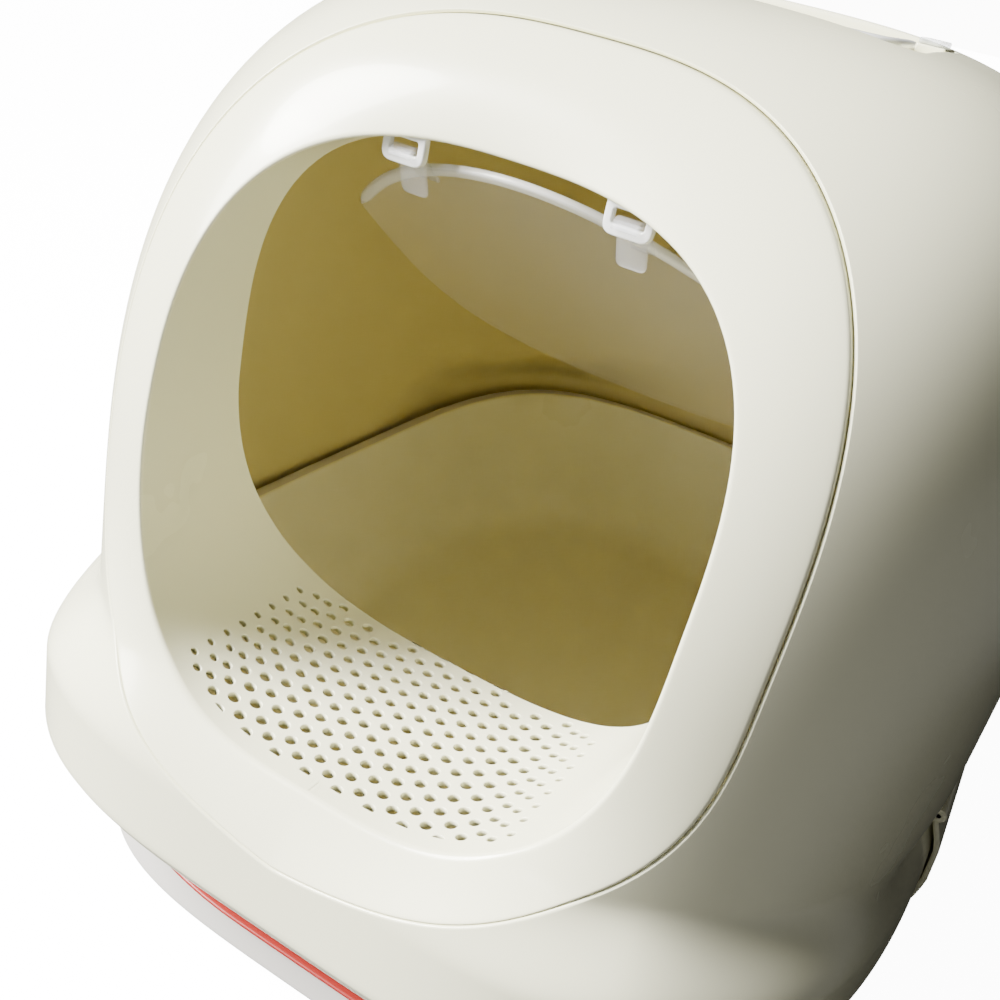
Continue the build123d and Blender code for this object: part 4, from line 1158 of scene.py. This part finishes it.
def make_latch(side, hand):
    """Long plate that hangs from its knuckle, wraps the skirt and flares under the lip, with its pin."""
    inside, outside = latch_line(LATCH_GAP), latch_line(LATCH_GAP + LATCH_WALL)
    nose_x, foot = LIP.half_width + FLANGE_PAST_LIP + LATCH_NOSE_GAP, LATCH_FOOT_Z
    tip_x = nose_x + LATCH_WALL + LATCH_FLARE
    toe = [(nose_x, foot + 0.6), (nose_x + 0.8, foot), (tip_x - 0.8, foot), (tip_x, foot + 0.8)]
    toe += [(nose_x + LATCH_WALL + 0.6, foot + 5)]
    top_in, top_out = (LATCH_PIVOT_X - 1, WAIST_Z), (LATCH_PIVOT_X + KNUCKLE_RADIUS, WAIST_Z)
    outline = np.concatenate([[top_in], inside, toe, outside[::-1], [top_out]])
    if side < 0:
        outline = (outline * [-1, 1])[::-1]
    last = LATCH_FRONT_Y + LATCH_LENGTH
    plate = prism(outline, LATCH_FRONT_Y, last, 0.8)
    pivot = (side * LATCH_PIVOT_X, WAIST_Z)
    knuckle = rod(LATCH_FRONT_Y, last, KNUCKLE_RADIUS, pivot, "Y", 0.6)
    shape, nodes = joined(plate, knuckle), [f"side_latch_{hand}"]
    flat_faces(make_piece(f"latch_{hand}_plate", shape, f"latch_{hand}", IVORY, nodes))
    reach = LUG_GAP + LUG_LENGTH
    pin = rod(LATCH_FRONT_Y - reach, last + reach, LATCH_PIN_RADIUS, pivot, "Y", 0.3)
    make_piece(f"latch_{hand}_pin", pin, "hood", WHITE, [f"latch_pin_{hand}"])


# Tray
def make_tray():
    """Tub as one skin: foot, drafted wall, flange, wall, rounded rim, inner wall, floor round and floor."""
    turn = once_round(TRAY_COLUMNS, -np.pi / 2)
    top, under = LIP_Z - FLANGE_SEAT, LIP_Z - FLANGE_SEAT - FLANGE_THICKNESS
    foot, rim, wall = TRAY_FOOT_ROUND, TRAY_RIM_Z, TRAY_WALL
    round_top = TRAY_FLOOR + TRAY_FLOOR_ROUND

    def tub(z, grow):
        return points_of(*plan_point(TRAY_FOOT, turn, -(TRAY_DRAFT * z / TRAY_RIM_Z + grow)), z)

    def flange(z, grow):
        return points_of(*plan_point(LIP, turn, FLANGE_DRAW - grow), z)

    swing = np.linspace(0, np.pi / 2, 6)
    rows = [points_of(*plan_point(TRAY_FOOT, turn, draw), 0.0) for draw in UNDERSIDE_DRAWS]
    rows += [tub(foot * (1 - np.cos(a)), -foot * (1 - np.sin(a))) for a in swing]
    rows += [tub(z, 0.0) for z in np.linspace(foot + 2, under - 1, 6)]
    rows += [tub(under, 0.6), flange(under, -1.0), flange(under + 1, 0.0)]
    rows += [flange(top - 1, 0.0), flange(top, -1.0), tub(top, 0.6)]
    rows += [tub(z, 0.0) for z in np.linspace(top + 1, rim - 5.0, 16)]
    rows += [tub(rim - 3.6, 0.6), tub(rim - 3.0, 2.0), tub(rim - 3.0, TRAY_RIM_LIP - 1.0)]
    rows += [tub(rim - 2.4, TRAY_RIM_LIP - 0.2), tub(rim - 0.8, TRAY_RIM_LIP), tub(rim, TRAY_RIM_LIP - 1.0)]
    rows += [tub(rim, 2.0), tub(rim, 1.4 - wall), tub(rim - 0.4, 0.4 - wall)]
    rows += [tub(z, -wall) for z in np.linspace(rim - 1.5, round_top + 4, 16)]
    for a in np.linspace(np.pi / 2, 0, 12):
        tuck = TRAY_FLOOR_ROUND * (1 - np.sin(a))
        rows.append(tub(TRAY_FLOOR + TRAY_FLOOR_ROUND * (1 - np.cos(a)), -wall - tuck))
    centre = np.array([0, TRAY_FOOT.centre, TRAY_FLOOR])
    rows += [centre + (rows[-1] - centre) * share for share in (0.85, 0.6, 0.3, 0.0)]
    base = [list(range(TRAY_COLUMNS))[::-1]]
    shape = (np.stack(rows), list(grid_quads(len(rows), TRAY_COLUMNS)) + base)
    return make_piece("tray", shape, "base", (TRAY_OUT, TRAY_IN), ["base_tray"])


def paint_inside(tray):
    """Gives the tray's inner faces their own material: those that look up or in, above the floor."""
    mesh = tray.data
    centre, normal = np.empty((2, len(mesh.polygons), 3))
    mesh.polygons.foreach_get("center", centre.reshape(-1))
    mesh.polygons.foreach_get("normal", normal.reshape(-1))
    centre = centre / MM
    out = centre - [0, TRAY_FOOT.centre, 0]
    facing_in = (out[:, :2] * normal[:, :2]).sum(-1) < 0
    height = centre[:, 2]
    looks_up = (height > 1) & (height < TRAY_FLOOR + TRAY_FLOOR_ROUND) & (normal[:, 2] > 0.1)
    inner = (facing_in & (height > TRAY_FLOOR - 0.5)) | looks_up
    mesh.polygons.foreach_set("material_index", inner.astype(np.int32))


def make_trim():
    """Crescent band under the flange, thickest at the front and gone at the sides."""
    top = LIP_Z - FLANGE_SEAT - FLANGE_THICKNESS - 0.1
    turn = np.linspace(-np.pi + 0.5, -0.5, 121)
    c, s = superellipse(turn, TRAY_FOOT.power)
    nx, ny = superellipse_normal(c, s, TRAY_FOOT.half_width, TRAY_FOOT.front, TRAY_FOOT.power)
    depth = np.maximum(0.15, -TRIM_NARROWER * np.abs(c * nx) + TRIM_DEPTH * np.abs(s * ny))
    spread = TRAY_DRAFT * top / TRAY_RIM_Z
    x, y = plan_point(TRAY_FOOT, turn, -spread - 0.1)
    depth = np.maximum(0.15, depth * smoothstep((TRIM_END_X - np.abs(x)) / TRIM_FADE))
    upper = [(0.0, 0.0), (0.75, 0.0), (0.92, 0.25), (1.0, TRIM_SOFT)]
    ring = upper + [(share, TRIM_SHOWN - drop) for share, drop in upper[::-1]]
    share, drop = (np.array(v)[None, :] for v in zip(*ring))
    x, y, out_x, out_y = (a[:, None] for a in (x, y, nx * depth, ny * depth))
    shape = (points_of(x + out_x * share, y + out_y * share, top - drop), tube_faces(len(turn), len(ring)))
    flat_faces(make_piece("trim_band", shape, "base", RED, ["rim_trim"]))


entrance_edge, crown_ring = make_hood()
make_entrance_frame(*entrance_edge)
make_recess(*crown_ring)
make_ring()
make_step()
make_flap()
make_handle()
paint_inside(make_tray())
make_trim()
for hand_name, hand_side in (("left", -1), ("right", 1)):
    make_pivot_boss(hand_side, hand_name)
    make_latch_lugs(hand_side, hand_name)
    make_bracket(hand_side, hand_name)
    make_handle_hardware(hand_side, hand_name)
    make_latch(hand_side, hand_name)

# Floor, lights and camera
FLOOR_HALF = 30000.0
FLOOR_GLOW = 12.0
FLOOR_DARK = (0.05, 0.05, 0.05, 1)
FLOOR_PALE = (0.95, 0.95, 0.945, 1)
WORLD_LIGHT = 0.05
WORLD_SEEN = 12.0
CAMERA_PLACE = (186.2, -597.5, 469.8)
CAMERA_AZIMUTH = 24.09
CAMERA_ELEVATION = 26.54
CAMERA_ROLL = 13.07
CAMERA_LENS = 40.80


def make_floor():
    """Plain pale floor under the tray. The camera sees it white, and other rays see it dark."""
    material, tree, shader = new_material("pale floor")
    path, tone = tree.nodes.new("ShaderNodeLightPath"), tree.nodes.new("ShaderNodeMix")
    tone.data_type = "RGBA"
    set_inputs(tone, {"A": FLOOR_DARK, "B": FLOOR_PALE})
    glow = tree.nodes.new("ShaderNodeMath")
    glow.operation = "MULTIPLY"
    glow.inputs[1].default_value = FLOOR_GLOW
    wire(
        tree,
        (path, "Is Camera Ray", tone, "Factor"),
        (tone, "Result", shader, "Base Color"),
        (path, "Is Camera Ray", glow, 0),
        (glow, 0, shader, "Emission Strength"),
    )
    set_inputs(shader, {"Emission Color": (1, 1, 1, 1), "Roughness": 0.9})
    mesh = bpy.data.meshes.new("floor")
    corners = np.array([(-1, -1, 0), (1, -1, 0), (1, 1, 0), (-1, 1, 0)]) * FLOOR_HALF * MM
    mesh.from_pydata((corners - [0, 0, 0.0002]).tolist(), [], [(0, 1, 2, 3)])
    mesh.materials.append(material)
    floor = placed("floor", mesh)


def make_light(name, place, target, size, power, colour=(1, 1, 1)):
    """Square area light, places in mm."""
    light = bpy.data.lights.new(name, "AREA")
    light.shape = "SQUARE"
    light.size = size * MM
    light.energy = power
    light.color = colour
    lamp = placed(name, light)
    lamp.location = Vector(place) * MM
    lamp.rotation_euler = (Vector(target) - Vector(place)).to_track_quat("-Z", "Y").to_euler()


def towards(azimuth, height):
    """Unit vector towards an azimuth, counted from -Y to +X, and a height, in radians."""
    flat = np.cos(height)
    return Vector((np.sin(azimuth) * flat, -np.cos(azimuth) * flat, np.sin(height)))


def make_sun(direction, spread, power):
    """Distant soft light in degrees: the azimuth and height that it comes from, and its spread."""
    light = bpy.data.lights.new("sun", "SUN")
    light.angle = np.radians(spread)
    light.energy = power
    placed("sun", light).rotation_euler = towards(*np.radians(direction)).to_track_quat("Z", "Y").to_euler()


def make_camera():
    """Camera at the photograph's angle: azimuth and elevation of its back, then its roll."""
    azimuth, height, roll = np.radians([CAMERA_AZIMUTH, CAMERA_ELEVATION, CAMERA_ROLL])
    back = towards(azimuth, height)
    level = Vector((np.cos(azimuth), np.sin(azimuth), 0))
    upright = back.cross(level)
    right = level * np.cos(roll) + upright * np.sin(roll)
    up = back.cross(right)
    turn = Matrix((right, up, back)).transposed().to_4x4()
    camera = bpy.data.cameras.new("camera")
    camera.lens = CAMERA_LENS
    camera.sensor_width = 36.0
    holder = placed("camera", camera)
    holder.matrix_world = Matrix.Translation(Vector(CAMERA_PLACE) * MM) @ turn
    bpy.context.scene.camera = holder


def make_world():
    """Even surroundings: white to the camera, and dim to other rays."""
    world = bpy.data.worlds.new("pale room")
    world.use_nodes = True
    tree = world.node_tree
    back, path = tree.nodes["Background"], tree.nodes.new("ShaderNodeLightPath")
    strength = set_inputs(tree.nodes.new("ShaderNodeMapRange"), {"To Min": WORLD_LIGHT, "To Max": WORLD_SEEN})
    wire(tree, (path, "Is Camera Ray", strength, "Value"), (strength, "Result", back, "Strength"))
    set_inputs(back, {"Color": (1.0, 0.99, 0.97, 1)})
    bpy.context.scene.world = world


make_floor()
make_world()
make_sun((-60, 40), 24, 14.0)
make_light("key", (-1400, -1300, 1100), (0, -100, 250), 900, 120, (1.0, 0.99, 0.97))
make_light("front", (-100, -1900, 500), (0, 0, 150), 400, 3.5)
make_camera()
